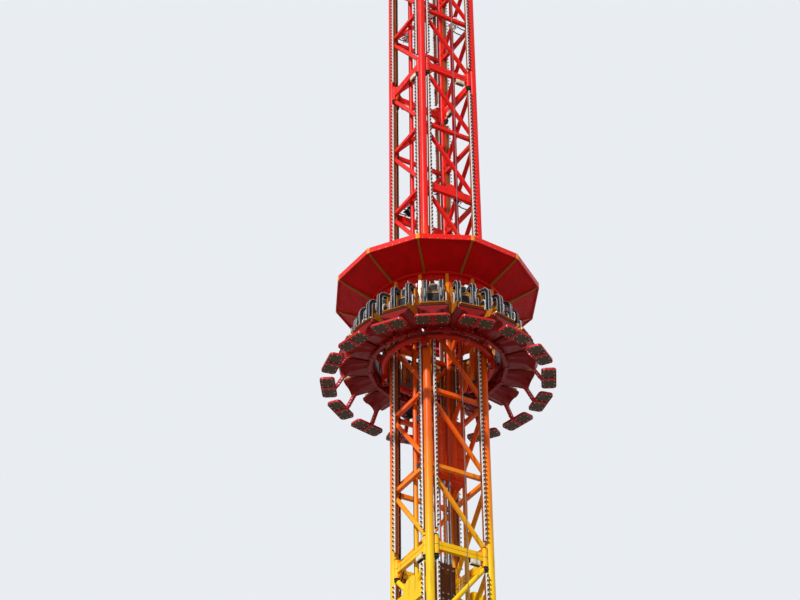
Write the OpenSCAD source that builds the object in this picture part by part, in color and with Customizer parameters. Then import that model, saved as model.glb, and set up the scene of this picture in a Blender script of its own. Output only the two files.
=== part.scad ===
// Drop tower ride: a square lattice mast, a guided carriage that slides on it, a turning
// gondola with sixteen single seats under a polygonal canopy, and a counterweight inside.
// Millimetres, +Z up, front face of the mast towards -Y. The origin is the centre of the
// underside of the base frame.

/* [Mast] */
// distance between the centres of two legs
mast_side = 1300; // [900:10:1800]
// outside diameter of a leg tube
leg_dia = 159; // [100:1:260]
// height of one bay, from one level bar to the next
bay = 1702; // [1200:1:2000]
// bays of the base section
base_bays = 4; // [1:1:5]
// bays of the top section
top_bays = 4; // [3:1:6]
// bays of each long section
section_bays = 7; // [4:1:8]
// width of a square level bar
bar = 80; // [50:1:120]
// diameter of a diagonal tube
diagonal_dia = 95; // [40:1:110]
// how far inside the level bars' centre lines the diagonals lie
diagonal_in = 8; // [0:1:20]
// distance from a level bar's centre to the end of a diagonal's centre line
diagonal_drop = 58; // [50:1:200]
// gap at a welded end on a round tube
weld_gap = 0.3; // [0.1:0.1:1]
// open seam between the two bars of a joint
seam_gap = 10; // [0.5:0.5:20]
// height of the plate beam with a lug
lug_beam_height = 180; // [120:5:260]
// radius of the round lug on that beam
lug_radius = 120; // [60:5:180]
// how far below the lower joint the humped beam lies
hump_drop = 790; // [500:10:1200]
// height of the humped beam
hump_beam_height = 300; // [150:5:360]
// radius of the hump
hump_radius = 300; // [200:5:440]
// height of the hump's centre above the middle of its beam
hump_up = 100; // [0:5:150]
// diameter of the two struts over the humped beam
strut_dia = 100; // [60:5:120]
// distance of a strut's lower end from the middle of the face
strut_in = 200; // [150:5:260]
// height of a strut's lower end above the middle of the humped beam
strut_up = 190; // [120:5:260]
// how far a strut's upper end lies below the end of a diagonal
strut_below = 60; // [40:5:90]
// width of a leg's square foot flange
leg_flange = 300; // [220:5:400]
// thickness of a leg's foot flange
leg_flange_thick = 25; // [12:1:40]

/* [Joint sleeves] */
// diameter of a bolt sleeve
sleeve_dia = 100; // [80:1:150]
// height of a bolt sleeve
sleeve_height = 382; // [300:1:700]
// sleeve centre from the leg centre, along the face
sleeve_in = 127; // [100:1:180]
// sleeve centre from the leg centre, outwards
sleeve_out = 18; // [0:1:90]

/* [Rails and lights] */
// rail centre from the leg centre, along the face
rail_in = 128; // [110:1:220]
// width of a bare steel rail
rail_width = 56; // [30:1:80]
// depth of a bare steel rail
rail_depth = 24; // [12:1:60]
// width of a light channel
strip_width = 50; // [30:1:70]
// depth of a light channel
strip_depth = 18; // [12:1:40]
// depth of the groove that holds the lamps
strip_groove = 8; // [2:1:18]
// width of that groove
strip_groove_width = 38; // [20:1:60]
// space left free above and below each sleeve
strip_break = 150; // [5:1:200]
// length of a lamp box under a joint
box_length = 210; // [120:5:300]
// depth of a lamp box
box_depth = 70; // [50:5:100]
// height of a lamp box
box_height = 110; // [80:5:150]
// distance of a lamp box's inner end from the leg centre
box_in = 445; // [380:5:500]

/* [Base] */
// height of the base frame beams
base_height = 280; // [200:5:400]
// half length of a cross beam
base_reach = 1300; // [1000:10:1800]
// width of a cross beam
base_beam = 240; // [150:5:320]
// width of a perimeter beam
base_rim_beam = 220; // [150:5:300]
// thickness of a foot plate
foot_plate = 30; // [15:1:50]
// foot plate length across the beam
foot_plate_long = 560; // [400:5:700]
// foot plate length along the beam
foot_plate_short = 300; // [200:5:400]
// radius of an anchor hole
anchor_r = 15; // [8:1:25]
// anchor spacing across the beam
anchor_wide = 420; // [300:5:600]
// anchor spacing along the beam
anchor_narrow = 180; // [100:5:300]
// how far the perimeter beams reach beyond the leg centres
base_overhang = 170; // [120:5:240]

/* [Hoist] */
// diameter of a hoist rope
rope_dia = 16; // [12:1:30]
// rope centre outside the face plane of the mast
rope_out = 240; // [180:5:300]
// radius of the rope centre line on a sheave
sheave_r = 290; // [200:5:350]
// width of a sheave
sheave_width = 60; // [40:1:90]
// flange height above the rope centre line
sheave_flange = 24; // [12:1:40]
// axle radius
axle_r = 32; // [20:1:50]
// height of the lower sheave axle above ground
base_axle_z = 860; // [700:10:1100]
// height of the upper sheave axle above the mast top
head_axle_up = 590; // [450:10:800]
// height of a head beam
head_beam = 200; // [120:5:260]
// width of a head beam
head_beam_width = 120; // [80:5:140]
// thickness of a sheave stand's cheek plate
cheek = 30; // [15:1:40]
// width of a cheek plate along the rope's plane
cheek_width = 240; // [160:5:300]
// diameter of a drive motor
motor_dia = 260; // [200:5:320]
// length of a drive motor
motor_length = 245; // [180:5:300]

/* [Carriage] */
// height of the lower ring tube centre above the foot rest plates
ring_up = 400; // [300:10:800]
// radius of the ring tube centre line
ring_r = 1078; // [1070:1:1200]
// diameter of the lower ring tube
ring_dia = 135; // [100:1:180]
// diameter of the upper ring tube
upper_ring_dia = 110; // [80:1:160]
// height of the upper ring above the foot rest plates
upper_ring_up = 2210; // [2000:10:2500]
// radius of a guide roller
roller_r = 60; // [40:1:90]
// width of a guide roller
roller_width = 64; // [30:1:90]
// radius of the slewing ring's track beyond the ring tube's centre line
race_out = 172; // [140:1:220]
// width of the fixed slewing ring
race_width = 60; // [40:1:100]
// height of the slewing rings
race_height = 140; // [80:5:200]
// width of a carriage post across the radius
carriage_post = 110; // [60:5:160]
// distance of a guide roller's axle from its ring tube's centre
axle_drop = 170; // [150:5:200]
// radius of a guide roller's axle
roller_axle_r = 14; // [10:1:20]
// thickness of a roller bracket's cheeks
bracket_plate = 16; // [8:1:20]
// running clearance of a guide roller
roller_clear = 0.5; // [0.3:0.1:2]
// clearance between the two slewing rings
race_clear = 0.6; // [0.3:0.1:2]

/* [Gondola] */
// height of the foot rest plates above ground, as photographed
foot_z = 23100; // [18000:10:26000]
// number of seats
seats = 16; // [12:1:20]
// direction of the first seat, in degrees
seat_turn = 11.25; // [0:0.25:22.5]
// distance of the gondola posts outside the slewing ring's track
post_out = 110; // [95:1:160]
// distance from a seat's front to the middle of its foot rest plate
foot_reach = 207; // [180:1:300]
// width of a foot rest plate
foot_width = 680; // [500:5:780]
// depth of a foot rest plate
foot_depth = 300; // [200:5:350]
// thickness of a foot rest plate
foot_thick = 16; // [8:1:30]
// height of the rim around a foot rest plate
foot_rim = 46; // [20:1:60]
// how far the rim hangs below the plate
foot_lip = 12; // [4:1:20]
// thickness of the rim
foot_edge = 14; // [8:1:30]
// width of the arm that carries a foot rest
foot_arm = 70; // [40:1:100]
// height of the seat arms above the foot rest plates
arm_up = 370; // [250:5:500]
// height of a seat arm's hull at its root, from underside to seat
arm_height = 130; // [60:1:160]
// height of the hull's lowest point above the foot rest plates
keel_up = 250; // [180:5:340]
// distance from a seat's front to the lowest point's outer end
keel_back = 55; // [20:5:120]
// radius of the curved flanks over a foot rest's post
keel_bend = 150; // [80:5:180]
// width of a seat inside its sides, at the back
seat_width = 432; // [380:2:470]
// angle by which each side of a seat opens towards the front
seat_splay = 4.5; // [0:0.5:8]
// thickness of a seat side
seat_side = 28; // [15:1:35]
// depth of a seat shell from its rear face to its front
seat_depth = 593; // [500:1:700]
// thickness of a seat pan where it is lowest
pan_height = 45; // [30:1:140]
// width of a seat arm at the hub
arm_root = 470; // [300:5:500]
// width of a seat arm where the seat is widest
arm_broad = 600; // [500:5:660]
// width of a gondola post
post = 60; // [40:1:80]

/* [Restraint] */
// height of the hinge above the foot rest plates
hinge_up = 1330; // [1250:5:1450]
// distance of the hinge axis inside the gondola posts' centres
hinge_in = 60; // [50:1:75]
// radius of the hinge tube
hinge_tube = 20; // [12:1:30]
// distance of each shoulder bar from the middle of the seat
shoulder = 158; // [120:1:190]
// width of a shoulder bar
shoulder_width = 70; // [40:1:90]
// thickness of a shoulder bar
shoulder_thick = 84; // [50:1:100]
// outside radius of the bend over the shoulder
shoulder_bend = 170; // [120:1:220]
// distance from the hinge axis to the start of that bend
shoulder_reach = 240; // [200:1:280]
// how far the lap bar lies below the hinge
lap_down = 560; // [480:5:620]

/* [Canopy] */
// height of the canopy hub above the foot rest plates
hub_up = 1690; // [1600:5:1800]
// width of the canopy hub ring
hub_width = 110; // [80:5:150]
// number of canopy corners
corners = 12; // [8:1:16]
// direction of the first canopy corner, in degrees
canopy_turn = 19; // [0:0.5:30]
// radius of a canopy corner
canopy_r = 2119; // [1900:5:2400]
// height of the rim's lower edge above the foot rest plates
rim_up = 2040; // [1900:5:2300]
// height of the rim band
rim_height = 118; // [60:5:200]
// thickness of the rim band
rim_thick = 28; // [10:1:50]
// height of the soffit above the rim's lower edge
soffit_up = 25; // [10:1:40]
// how far the roof's edge lies below the rim's upper edge
roof_down = 20; // [15:1:40]
// rise of the roof towards the middle, as a share of its run
roof_slope = 0.38; // [0.3:0.01:0.42]
// width of a radial rib
rib = 36; // [24:1:80]
// thickness of a canopy panel
panel = 14; // [6:1:25]
// space between a panel and a rib
panel_gap = 3; // [2:1:10]
// length of a corner cap along each rim
cap_reach = 40; // [30:1:120]
// height of the band under the hub
skirt_height = 145; // [80:5:200]

/* [Counterweight] */
// half width of the counterweight's thick middle
weight_half = 260; // [200:5:300]
// half depth of that middle
weight_deep = 205; // [120:5:230]
// half width of the groove down its front and back
weight_groove = 60; // [30:5:90]
// half width of the counterweight over its end flanges
weight_reach = 488; // [400:1:500]
// how far its underside lies below the foot rest plates, as photographed
weight_down = 2270; // [1800:10:2800]
// height of the counterweight
weight_height = 1400; // [800:10:1600]
// thickness of the counterweight's end plates
weight_end = 60; // [30:5:100]
// depth of the counterweight's flanges
weight_flange = 260; // [180:5:320]
// radius of a counterweight guide rail
weight_rail_r = 45; // [15:1:60]
// distance of a guide rail from the middle
weight_rail_x = 547; // [500:1:560]
// height of the hoist block under the counterweight
block_height = 1200; // [600:10:1400]
// how far the top of the hoist block lies below the foot rest plates
block_down = 4150; // [3600:10:4600]
// width of the hoist block
block_width = 340; // [260:10:400]
// depth of the hoist block
block_depth = 320; // [240:10:380]
// radius of a rod between the block and the counterweight
rod_r = 14; // [8:1:18]
// spacing of the rods
rod_pitch = 120; // [80:5:130]

/* [Hidden] */
$fn = 48;
half = mast_side / 2;
leg_r = leg_dia / 2;
level_count = base_bays + 2 * section_bays + top_bays;
mast_top = base_height + level_count * bay;
joint_a = base_bays;
joint_b = base_bays + section_bays;
joint_c = base_bays + 2 * section_bays;
joints = [joint_a, joint_b, joint_c];
face_y = half + bar / 2;
seat_step = 360 / seats;
corner_step = 360 / corners;
arm_z = foot_z + arm_up;
pan_z = arm_z + arm_height;
keel_z = foot_z + keel_up;
ring_z = foot_z + ring_up;
upper_ring_z = foot_z + upper_ring_up;
race_z = ring_z + 130;
race_r = ring_r + race_out;
post_r = race_r + post_out;
post_in = post_r - post / 2;
back_r = post_r + post / 2 + 2;
seat_front = back_r + seat_depth;
foot_r = seat_front + foot_reach;
hinge_r = post_r - hinge_in;
hub_z = foot_z + hub_up;
hub_height = 60;
axle_clear = 0.5;
roller_bore = 0.4;
ring_inside = 20;
ring_outside = 40;
post_drop = 130;
pan_rise = 40;
back_z = pan_z + pan_height + pan_rise + 5;
hull_lip = 36;
hull_front_out = 6;
hull_wide_at = 320;
hull_tail = post_in - 30;
cheek_out = sheave_width / 2 + 25;
end_out = cheek_out + cheek;
hub_in = post_in - 40;
hub_out = hub_in + hub_width;
soffit_in = hub_out * cos(corner_step / 2) - 20;
rim_z = foot_z + rim_up;
apothem = canopy_r * cos(corner_step / 2);
hinge_z = foot_z + hinge_up;
rope_y = half + rope_out;
sheave_y = rope_y - sheave_r;
head_axle_z = mast_top + head_axle_up;
back_top = hinge_z - 60;
side_length = 2 * post_in * tan(seat_step / 2) - 19;
bracket_r = half * sqrt(2) + leg_r + roller_clear + roller_r;
weight_z = foot_z - weight_down;
block_top = foot_z - block_down;

function level(i) = base_height + i * bay;
function beam_z(i, low, high) =
    i == low ? level(i) + bar / 2 + seam_gap / 2 :
    i == high && i < level_count ? level(i) - bar / 2 - seam_gap / 2 :
    i == high ? level(i) - bar / 2 : level(i);
// underside of the lower bar at a joint or at the mast's top
function lamp_top(j) = level(j) - bar - (j == level_count ? 0 : seam_gap / 2);
// height of the canopy underside at a given distance from the axis
function soffit(r) = hub_z + hub_height + weld_gap
    + (r - soffit_in) * (rim_z + soffit_up - hub_z - hub_height) / (apothem - soffit_in);
function roof(r) = rim_z + rim_height - roof_down + (apothem - r) * roof_slope;

module turned(count, start) {
    for (k = [0 : count - 1])
        rotate([0, 0, start + k * 360 / count])
            children();
}

// a plate or bar drawn in the plane of radius and height, of a given width across it
module radial_plate(points, width) {
    rotate([90, 0, 0])
        translate([0, 0, -width / 2])
            linear_extrude(height = width)
                polygon(points);
}

// a round bar in the front face between two points [x, z]
module face_tube(a, b, dia) {
    dx = b[0] - a[0];
    dz = b[1] - a[1];
    translate([a[0], diagonal_in - half, a[1]])
        rotate([0, atan2(dx, dz), 0])
            cylinder(h = sqrt(dx * dx + dz * dz), d = dia);
}

module level_bar(z) {
    translate([-half, -half - bar / 2, z - bar / 2])
        cube([mast_side, bar, bar]);
}

module lug_beam(z) {
    translate([0, -half + bar / 2, z])
        rotate([90, 0, 0])
            linear_extrude(height = bar)
                union() {
                    translate([-half, -lug_beam_height / 2])
                        square([mast_side, lug_beam_height]);
                    translate([0, lug_beam_height / 2])
                        circle(r = lug_radius);
                }
}

module hump_beam(z) {
    translate([0, -half + bar / 2, z])
        rotate([90, 0, 0])
            linear_extrude(height = bar)
                union() {
                    translate([-half, -hump_beam_height / 2])
                        square([mast_side, hump_beam_height]);
                    translate([0, hump_up])
                        circle(r = hump_radius);
                    translate([-hump_radius, 0])
                        square([2 * hump_radius, hump_up]);
                }
}

module section_bars(low, high, lug, hump, portal, flip) {
    first = low == 0 ? 1 : low;
    for (i = [first : high])
        if (!(lug && i == joint_c - 2))
            level_bar(beam_z(i, low, high));
    if (lug && low < joint_c - 2 && high > joint_c - 2)
        lug_beam(level(joint_c - 2));
    for (i = [low : high - 1])
        if (!(portal && i == 0) && !(hump && i == joint_b - 1)) {
            turn = flip && i == joint_b - 1 ? -1 : 1;
            face_tube([-turn * half, level(i + 1) - diagonal_drop], [turn * half, level(i) + diagonal_drop],
                diagonal_dia);
        }
    if (hump && high == joint_b) {
        hump_beam(level(joint_b) - hump_drop);
        for (s = [-1, 1])
            face_tube([s * half, level(joint_b) - diagonal_drop - strut_below],
                [s * strut_in, level(joint_b) - hump_drop + strut_up], strut_dia);
    }
}

module section_lattice(low, high, lug, hump, portal, flip) {
    difference() {
        section_bars(low, high, lug, hump, portal, flip);
        for (s = [-1, 1])
            translate([s * half, -half, level(low) - sleeve_height])
                cylinder(h = (high - low) * bay + 2 * sleeve_height, r = leg_r + weld_gap);
        for (s = [-1, 1], j = joints)
            if (j == low || j == high)
                translate([s * (half - sleeve_in), -half - sleeve_out, level(j) - sleeve_height / 2 - 1])
                    cylinder(h = sleeve_height + 2, r = sleeve_dia / 2 + weld_gap);
    }
}

module face_lattice(lug, hump, portal, flip) {
    section_lattice(0, joint_a, lug, hump, portal, flip);
    section_lattice(joint_a, joint_b, lug, hump, portal, flip);
    section_lattice(joint_b, joint_c, lug, hump, portal, flip);
    section_lattice(joint_c, level_count, lug, hump, portal, flip);
}

module front_lattice() {
    color([0.9, 0.45, 0.1]) face_lattice(true, false, true, true);
}

module right_lattice() {
    color([0.9, 0.45, 0.1]) rotate([0, 0, 90]) face_lattice(false, true, false, false);
}

module back_lattice() {
    color([0.9, 0.45, 0.1]) rotate([0, 0, 180]) face_lattice(true, false, true, false);
}

module left_lattice() {
    color([0.9, 0.45, 0.1]) rotate([0, 0, 270]) face_lattice(false, true, false, false);
}

module legs() {
    color([0.95, 0.55, 0.1])
        turned(4, 0)
            union() {
                translate([-half, -half, base_height])
                    cylinder(h = mast_top - base_height, r = leg_r);
                translate([-half - leg_flange / 2, -half - leg_flange / 2, base_height])
                    cube([leg_flange, leg_flange, leg_flange_thick]);
                for (j = joints) {
                    translate([-half + sleeve_in, -half - sleeve_out, level(j) - sleeve_height / 2])
                        cylinder(h = sleeve_height, d = sleeve_dia);
                    translate([-half - sleeve_out, -half + sleeve_in, level(j) - sleeve_height / 2])
                        cylinder(h = sleeve_height, d = sleeve_dia);
                }
            }
}

// one run of a strip on the front face, between two joints
module strip_run(low, high, depth, width, start_y) {
    gap = sleeve_height / 2 + strip_break;
    foot_gap = 60;
    head_gap = 20;
    z0 = low == 0 ? base_height + foot_gap : level(low) + gap;
    z1 = high == level_count ? mast_top - head_gap : level(high) - gap;
    for (s = [-1, 1])
        translate([s * (half - rail_in) - width / 2, -start_y - depth, z0])
            cube([width, depth, z1 - z0]);
}

module guide_rails() {
    color([0.45, 0.42, 0.38])
        turned(4, 0) {
            strip_run(0, joint_a, rail_depth, rail_width, face_y);
            strip_run(joint_a, joint_b, rail_depth, rail_width, face_y);
            strip_run(joint_b, joint_c, rail_depth, rail_width, face_y);
            strip_run(joint_c, level_count, rail_depth, rail_width, face_y);
        }
}

module light_run(low, high) {
    front_y = face_y + rail_depth + strip_depth;
    difference() {
        strip_run(low, high, strip_depth, strip_width, face_y + rail_depth);
        for (s = [-1, 1])
            translate([s * (half - rail_in) - strip_groove_width / 2, -front_y - 1, 0])
                cube([strip_groove_width, strip_groove + 1, mast_top]);
    }
}

module light_strips() {
    color([0.92, 0.92, 0.88])
        turned(4, 0) {
            light_run(0, joint_a);
            light_run(joint_a, joint_b);
            light_run(joint_b, joint_c);
            light_run(joint_c, level_count);
        }
}

module lamp_boxes() {
    color([0.9, 0.85, 0.7])
        turned(4, 0)
            for (j = [joint_b, joint_c, level_count])
                translate([half - box_in, -half - box_depth / 2, lamp_top(j) - box_height])
                    cube([box_length, box_depth, box_height]);
}

module base_frame() {
    plate_middle = base_reach - foot_plate_short / 2;
    color([0.35, 0.35, 0.37])
        difference() {
            union() {
                for (t = [0, 90])
                    rotate([0, 0, t]) {
                        translate([-base_reach, -base_beam / 2, 0])
                            cube([2 * base_reach, base_beam, base_height]);
                        for (s = [-1, 1]) {
                            translate([-half - base_overhang, s * half - base_rim_beam / 2, 0])
                                cube([mast_side + 2 * base_overhang, base_rim_beam, base_height]);
                            translate([s * plate_middle - foot_plate_short / 2, -foot_plate_long / 2, 0])
                                cube([foot_plate_short, foot_plate_long, foot_plate]);
                        }
                    }
            }
            turned(4, 0)
                for (a = [-1, 1], b = [-1, 1])
                    translate([plate_middle + a * anchor_narrow / 2, b * anchor_wide / 2, -1])
                        cylinder(h = foot_plate + 2, r = anchor_r);
        }
}

// a rope loop in the plane x = 0, outside and inside the front face
module rope_loop() {
    for (y = [-rope_y, -rope_y + 2 * sheave_r])
        translate([0, y, base_axle_z])
            cylinder(h = head_axle_z - base_axle_z, d = rope_dia);
    translate([0, -sheave_y, head_axle_z])
        rotate([90, 0, 90])
            rotate_extrude(angle = 180)
                translate([sheave_r, 0])
                    circle(d = rope_dia);
    translate([0, -sheave_y, base_axle_z])
        rotate([90, 180, 90])
            rotate_extrude(angle = 180)
                translate([sheave_r, 0])
                    circle(d = rope_dia);
}

module hoist_ropes() {
    color([0.25, 0.25, 0.27])
        turned(2, 0)
            union() rope_loop();
}

module sheave() {
    groove = rope_dia / 2 + 0.4;
    bevel = groove * 0.42;
    lip = groove + 14;
    outer = sheave_r + 60;
    rotate([0, 90, 0])
        difference() {
            translate([0, 0, -sheave_width / 2])
                cylinder(h = sheave_width, r = sheave_r + sheave_flange);
            rotate_extrude()
                polygon([
                    [sheave_r - groove, -bevel], [sheave_r - bevel, -groove], [sheave_r + groove, -groove],
                    [outer, -lip], [outer, lip],
                    [sheave_r + groove, groove], [sheave_r - bevel, groove], [sheave_r - groove, bevel]]);
            translate([0, 0, -sheave_width])
                cylinder(h = 2 * sheave_width, r = axle_r + axle_clear);
        }
}

module head_sheaves() {
    color([0.3, 0.3, 0.32])
        turned(2, 0)
            translate([0, -sheave_y, head_axle_z])
                sheave();
}

module base_sheaves() {
    color([0.3, 0.3, 0.32])
        turned(2, 0)
            translate([0, -sheave_y, base_axle_z])
                sheave();
}

// two cheek plates and an axle for the sheave on the front side
module sheave_stand(floor_z, axle_z) {
    over = 90;
    for (s = [-1, 1])
        translate([s * (cheek_out + cheek / 2) - cheek / 2, -sheave_y - cheek_width / 2, floor_z])
            cube([cheek, cheek_width, axle_z + over - floor_z]);
    translate([-end_out, -sheave_y, axle_z])
        rotate([0, 90, 0])
            cylinder(h = 2 * end_out, r = axle_r);
}

module base_stands() {
    color([0.35, 0.35, 0.37])
        turned(2, 0)
            union() sheave_stand(base_height, base_axle_z);
}

module head_frame() {
    beam_x = 115;
    reach = half + 330;
    cross_height = 60;
    color([0.75, 0.1, 0.06])
        union() {
            for (s = [-1, 1])
                translate([s * beam_x - head_beam_width / 2, -reach, mast_top])
                    cube([head_beam_width, 2 * reach, head_beam]);
            for (s = [-1, 1])
                translate([-half - head_beam_width / 2, s * half - head_beam_width / 2, mast_top])
                    cube([mast_side + head_beam_width, head_beam_width, cross_height]);
            turned(2, 0)
                sheave_stand(mast_top + head_beam - 1, head_axle_z);
        }
}

module drive_motors() {
    foot = [190, 220];
    foot_in = 30;
    color([0.2, 0.3, 0.45])
        turned(2, 0)
            union() {
                translate([-end_out - motor_length, -sheave_y, base_axle_z])
                    rotate([0, 90, 0])
                        cylinder(h = motor_length, d = motor_dia);
                translate([foot_in - end_out - motor_length, -sheave_y - foot[1] / 2, base_height])
                    cube([foot[0], foot[1], base_axle_z - base_height]);
            }
}

module counterweight_rails() {
    bracket = [40, 50];
    start = weight_rail_x + 20;
    wall = half - bar / 2;
    color([0.8, 0.4, 0.1])
        for (s = [-1, 1])
            union() {
                translate([s * weight_rail_x, 0, base_height])
                    cylinder(h = mast_top - base_height, r = weight_rail_r);
                for (i = [1 : 2 : level_count - 1])
                    translate([s > 0 ? start : -wall, -bracket[0] / 2, level(i) - bracket[1] / 2])
                        cube([wall - start, bracket[0], bracket[1]]);
            }
}

module counterweight_frame() {
    color([0.85, 0.3, 0.08])
        difference() {
            translate([-weight_reach, -weight_flange / 2, weight_z])
                cube([2 * weight_reach, weight_flange, weight_height]);
            translate([-weight_half, -weight_deep, weight_z + weight_end])
                cube([2 * weight_half, 2 * weight_deep, weight_height - 2 * weight_end]);
        }
}

// stacked blocks between the flanges, with the groove down the front and back
module counterweight_blocks() {
    depth = 60;
    color([0.8, 0.3, 0.08])
        difference() {
            translate([-weight_half, -weight_deep, weight_z + weight_end])
                cube([2 * weight_half, 2 * weight_deep, weight_height - 2 * weight_end]);
            for (s = [-1, 1])
                translate([-weight_groove, s * weight_deep - depth, weight_z])
                    cube([2 * weight_groove, 2 * depth, weight_height]);
        }
}

module counterweight_shoes() {
    shoe = [120, 150];
    inset = 80;
    color([0.2, 0.2, 0.2])
        for (z = [weight_z + inset, weight_z + weight_height - inset - shoe[1]], s = [-1, 1])
            difference() {
                translate([s > 0 ? weight_reach : -weight_rail_x, -shoe[0] / 2, z])
                    cube([weight_rail_x - weight_reach, shoe[0], shoe[1]]);
                translate([s * weight_rail_x, 0, z - 1])
                    cylinder(h = shoe[1] + 2, r = weight_rail_r + roller_clear);
            }
}

// block that hangs under the counterweight on rods
module hoist_block() {
    middle = 20;
    step = 60;
    margin = 40;
    rod_x = [middle + 10 - rod_pitch, middle + 10, middle + 10 + rod_pitch];
    rod_y = [-80, 80];
    socket_r = 26;
    socket_height = 160;
    color([0.35, 0.2, 0.12])
        union() {
            translate([middle - block_width / 2, -block_depth / 2, block_top - block_height])
                cube([block_width, block_depth, block_height]);
            translate([middle - block_width / 2 + margin, margin - block_depth / 2, block_top])
                cube([block_width - 2 * margin, block_depth - 2 * margin, step]);
            for (x = rod_x, y = rod_y)
                translate([x, y, block_top + step / 2])
                    cylinder(h = weight_z - block_top - step / 2, r = rod_r);
            for (x = rod_x, y = rod_y)
                translate([x, y, block_top + step - 10])
                    cylinder(h = socket_height, r = socket_r);
        }
}

// tapered bracket on a ring tube: two plates either side of a roller and a cover over it
module roller_bracket(z, up) {
    cover = 14;
    tail = axle_drop + 70;
    start = [ring_r + ring_dia / 2 + 8.5, z + up * 22];
    end = [bracket_r + 85, z + up * tail];
    rotate([0, 0, 45]) {
        for (s = [-1, 1])
            translate([0, s * (roller_width / 2 + 4 + bracket_plate / 2), 0])
                radial_plate([start, end, [bracket_r - 30, z + up * tail],
                    [ring_r - ring_dia / 2 + 12, z + up * 24]], bracket_plate);
        radial_plate([start, end, end - [cover, 0], start - [cover, 0]],
            roller_width + 8 + 2 * bracket_plate);
    }
}

module roller_axle(z) {
    length = roller_width + 50;
    rotate([0, 0, 45])
        translate([bracket_r, length / 2, z])
            rotate([90, 0, 0])
                cylinder(h = length, r = roller_axle_r);
}

// arm from a ring tube out to the slewing ring or a carriage post
module ring_arm(z, foot, top, width) {
    tip = race_r - 10;
    nose = 30;
    radial_plate([[ring_r - ring_inside, z - foot], [ring_r + ring_outside, z - foot], [tip, top - nose],
        [tip, top], [ring_r - ring_inside, top]], width);
}

module carriage_ring() {
    color([0.8, 0.1, 0.05])
        union() {
            translate([0, 0, ring_z])
                rotate_extrude()
                    translate([ring_r, 0])
                        circle(d = ring_dia);
            turned(8, 22.5)
                ring_arm(ring_z, 20, race_z - weld_gap, carriage_post + 10);
            turned(4, 0) {
                roller_bracket(ring_z, -1);
                roller_axle(ring_z - axle_drop);
            }
        }
}

module upper_ring() {
    z = upper_ring_z;
    nose = 40;
    color([0.8, 0.1, 0.05])
        union() {
            translate([0, 0, z])
                rotate_extrude()
                    translate([ring_r, 0])
                        circle(d = upper_ring_dia);
            turned(8, 22.5)
                radial_plate([[ring_r - ring_inside, z + 20], [ring_r + ring_outside, z + 20],
                    [race_r, z - post_drop + nose], [race_r, z - post_drop],
                    [race_r - race_width, z - post_drop], [ring_r - ring_inside, z - 20]],
                    carriage_post - 30);
            turned(4, 0) {
                roller_bracket(z, 1);
                roller_axle(z + axle_drop);
            }
        }
}

module carriage_posts() {
    foot = race_z + race_height;
    color([0.85, 0.45, 0.05])
        turned(8, 22.5)
            translate([race_r - race_width + 2, -carriage_post / 2, foot])
                cube([race_width - 8, carriage_post, upper_ring_z - post_drop - foot]);
}

module guide_rollers() {
    color([0.1, 0.1, 0.11])
        for (z = [ring_z - axle_drop, upper_ring_z + axle_drop])
            turned(4, 45)
                difference() {
                    translate([bracket_r, roller_width / 2, z])
                        rotate([90, 0, 0])
                            cylinder(h = roller_width, r = roller_r);
                    translate([bracket_r, roller_width, z])
                        rotate([90, 0, 0])
                            cylinder(h = 2 * roller_width, r = roller_axle_r + roller_bore);
                }
}

module slew_ring_inner() {
    color([0.4, 0.4, 0.42])
        translate([0, 0, race_z])
            difference() {
                cylinder(h = race_height, r = race_r);
                translate([0, 0, -1])
                    cylinder(h = race_height + 2, r = race_r - race_width);
            }
}

module slew_ring_outer() {
    big = (post_in - weld_gap) / cos(seat_step / 2);
    angles = [for (k = [0 : seats - 1]) (k + 0.5) * seat_step];
    color([0.55, 0.08, 0.05])
        translate([0, 0, race_z])
            difference() {
                rotate([0, 0, seat_turn + seat_step / 2])
                    linear_extrude(height = race_height)
                        polygon([for (a = angles) [big * cos(a), big * sin(a)]]);
                translate([0, 0, -1])
                    cylinder(h = race_height + 2, r = race_r + race_clear);
            }
}

module tie_bars() {
    height = 60;
    color([0.55, 0.08, 0.05])
        turned(seats, seat_turn + seat_step / 2)
            translate([post_in - 10, -side_length / 2, arm_z - height])
                cube([post + 10, side_length, height - weld_gap]);
}

// hull under a seat, seen from the side: level at the root, then down to the foot rest's post
module hull_side() {
    nose = seat_front - hull_front_out;
    polygon([[hull_tail, pan_z], [hull_tail, arm_z], [back_r + 40, arm_z], [seat_front - 235, arm_z - 40],
        [seat_front - keel_back - foot_arm, keel_z], [seat_front - keel_back, keel_z],
        [nose, pan_z - hull_lip], [nose, pan_z]]);
}

// the hull seen from the front: a keel with curved flanks
module hull_front() {
    wide = arm_broad / 2;
    low = pan_z - hull_lip;
    difference() {
        polygon([[-wide, pan_z], [-wide, low], [-foot_arm / 2, keel_z],
            [foot_arm / 2, keel_z], [wide, low], [wide, pan_z]]);
        for (s = [-1, 1])
            translate([s * (foot_arm / 2 + keel_bend), keel_z])
                circle(r = keel_bend);
    }
}

// the hull seen from above: it widens from its root, and its front corners are round
module hull_plan() {
    corner = 45;
    wide = arm_broad / 2;
    wide_at = seat_front - hull_wide_at;
    union() {
        polygon([[hull_tail, -arm_root / 2], [wide_at, -wide], [seat_front - corner, -wide],
            [seat_front - corner, wide], [wide_at, wide], [hull_tail, arm_root / 2]]);
        translate([wide_at, corner - wide])
            square([hull_wide_at, arm_broad - 2 * corner]);
        for (s = [-1, 1])
            translate([seat_front - corner, s * (wide - corner)])
                circle(r = corner);
    }
}

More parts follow.
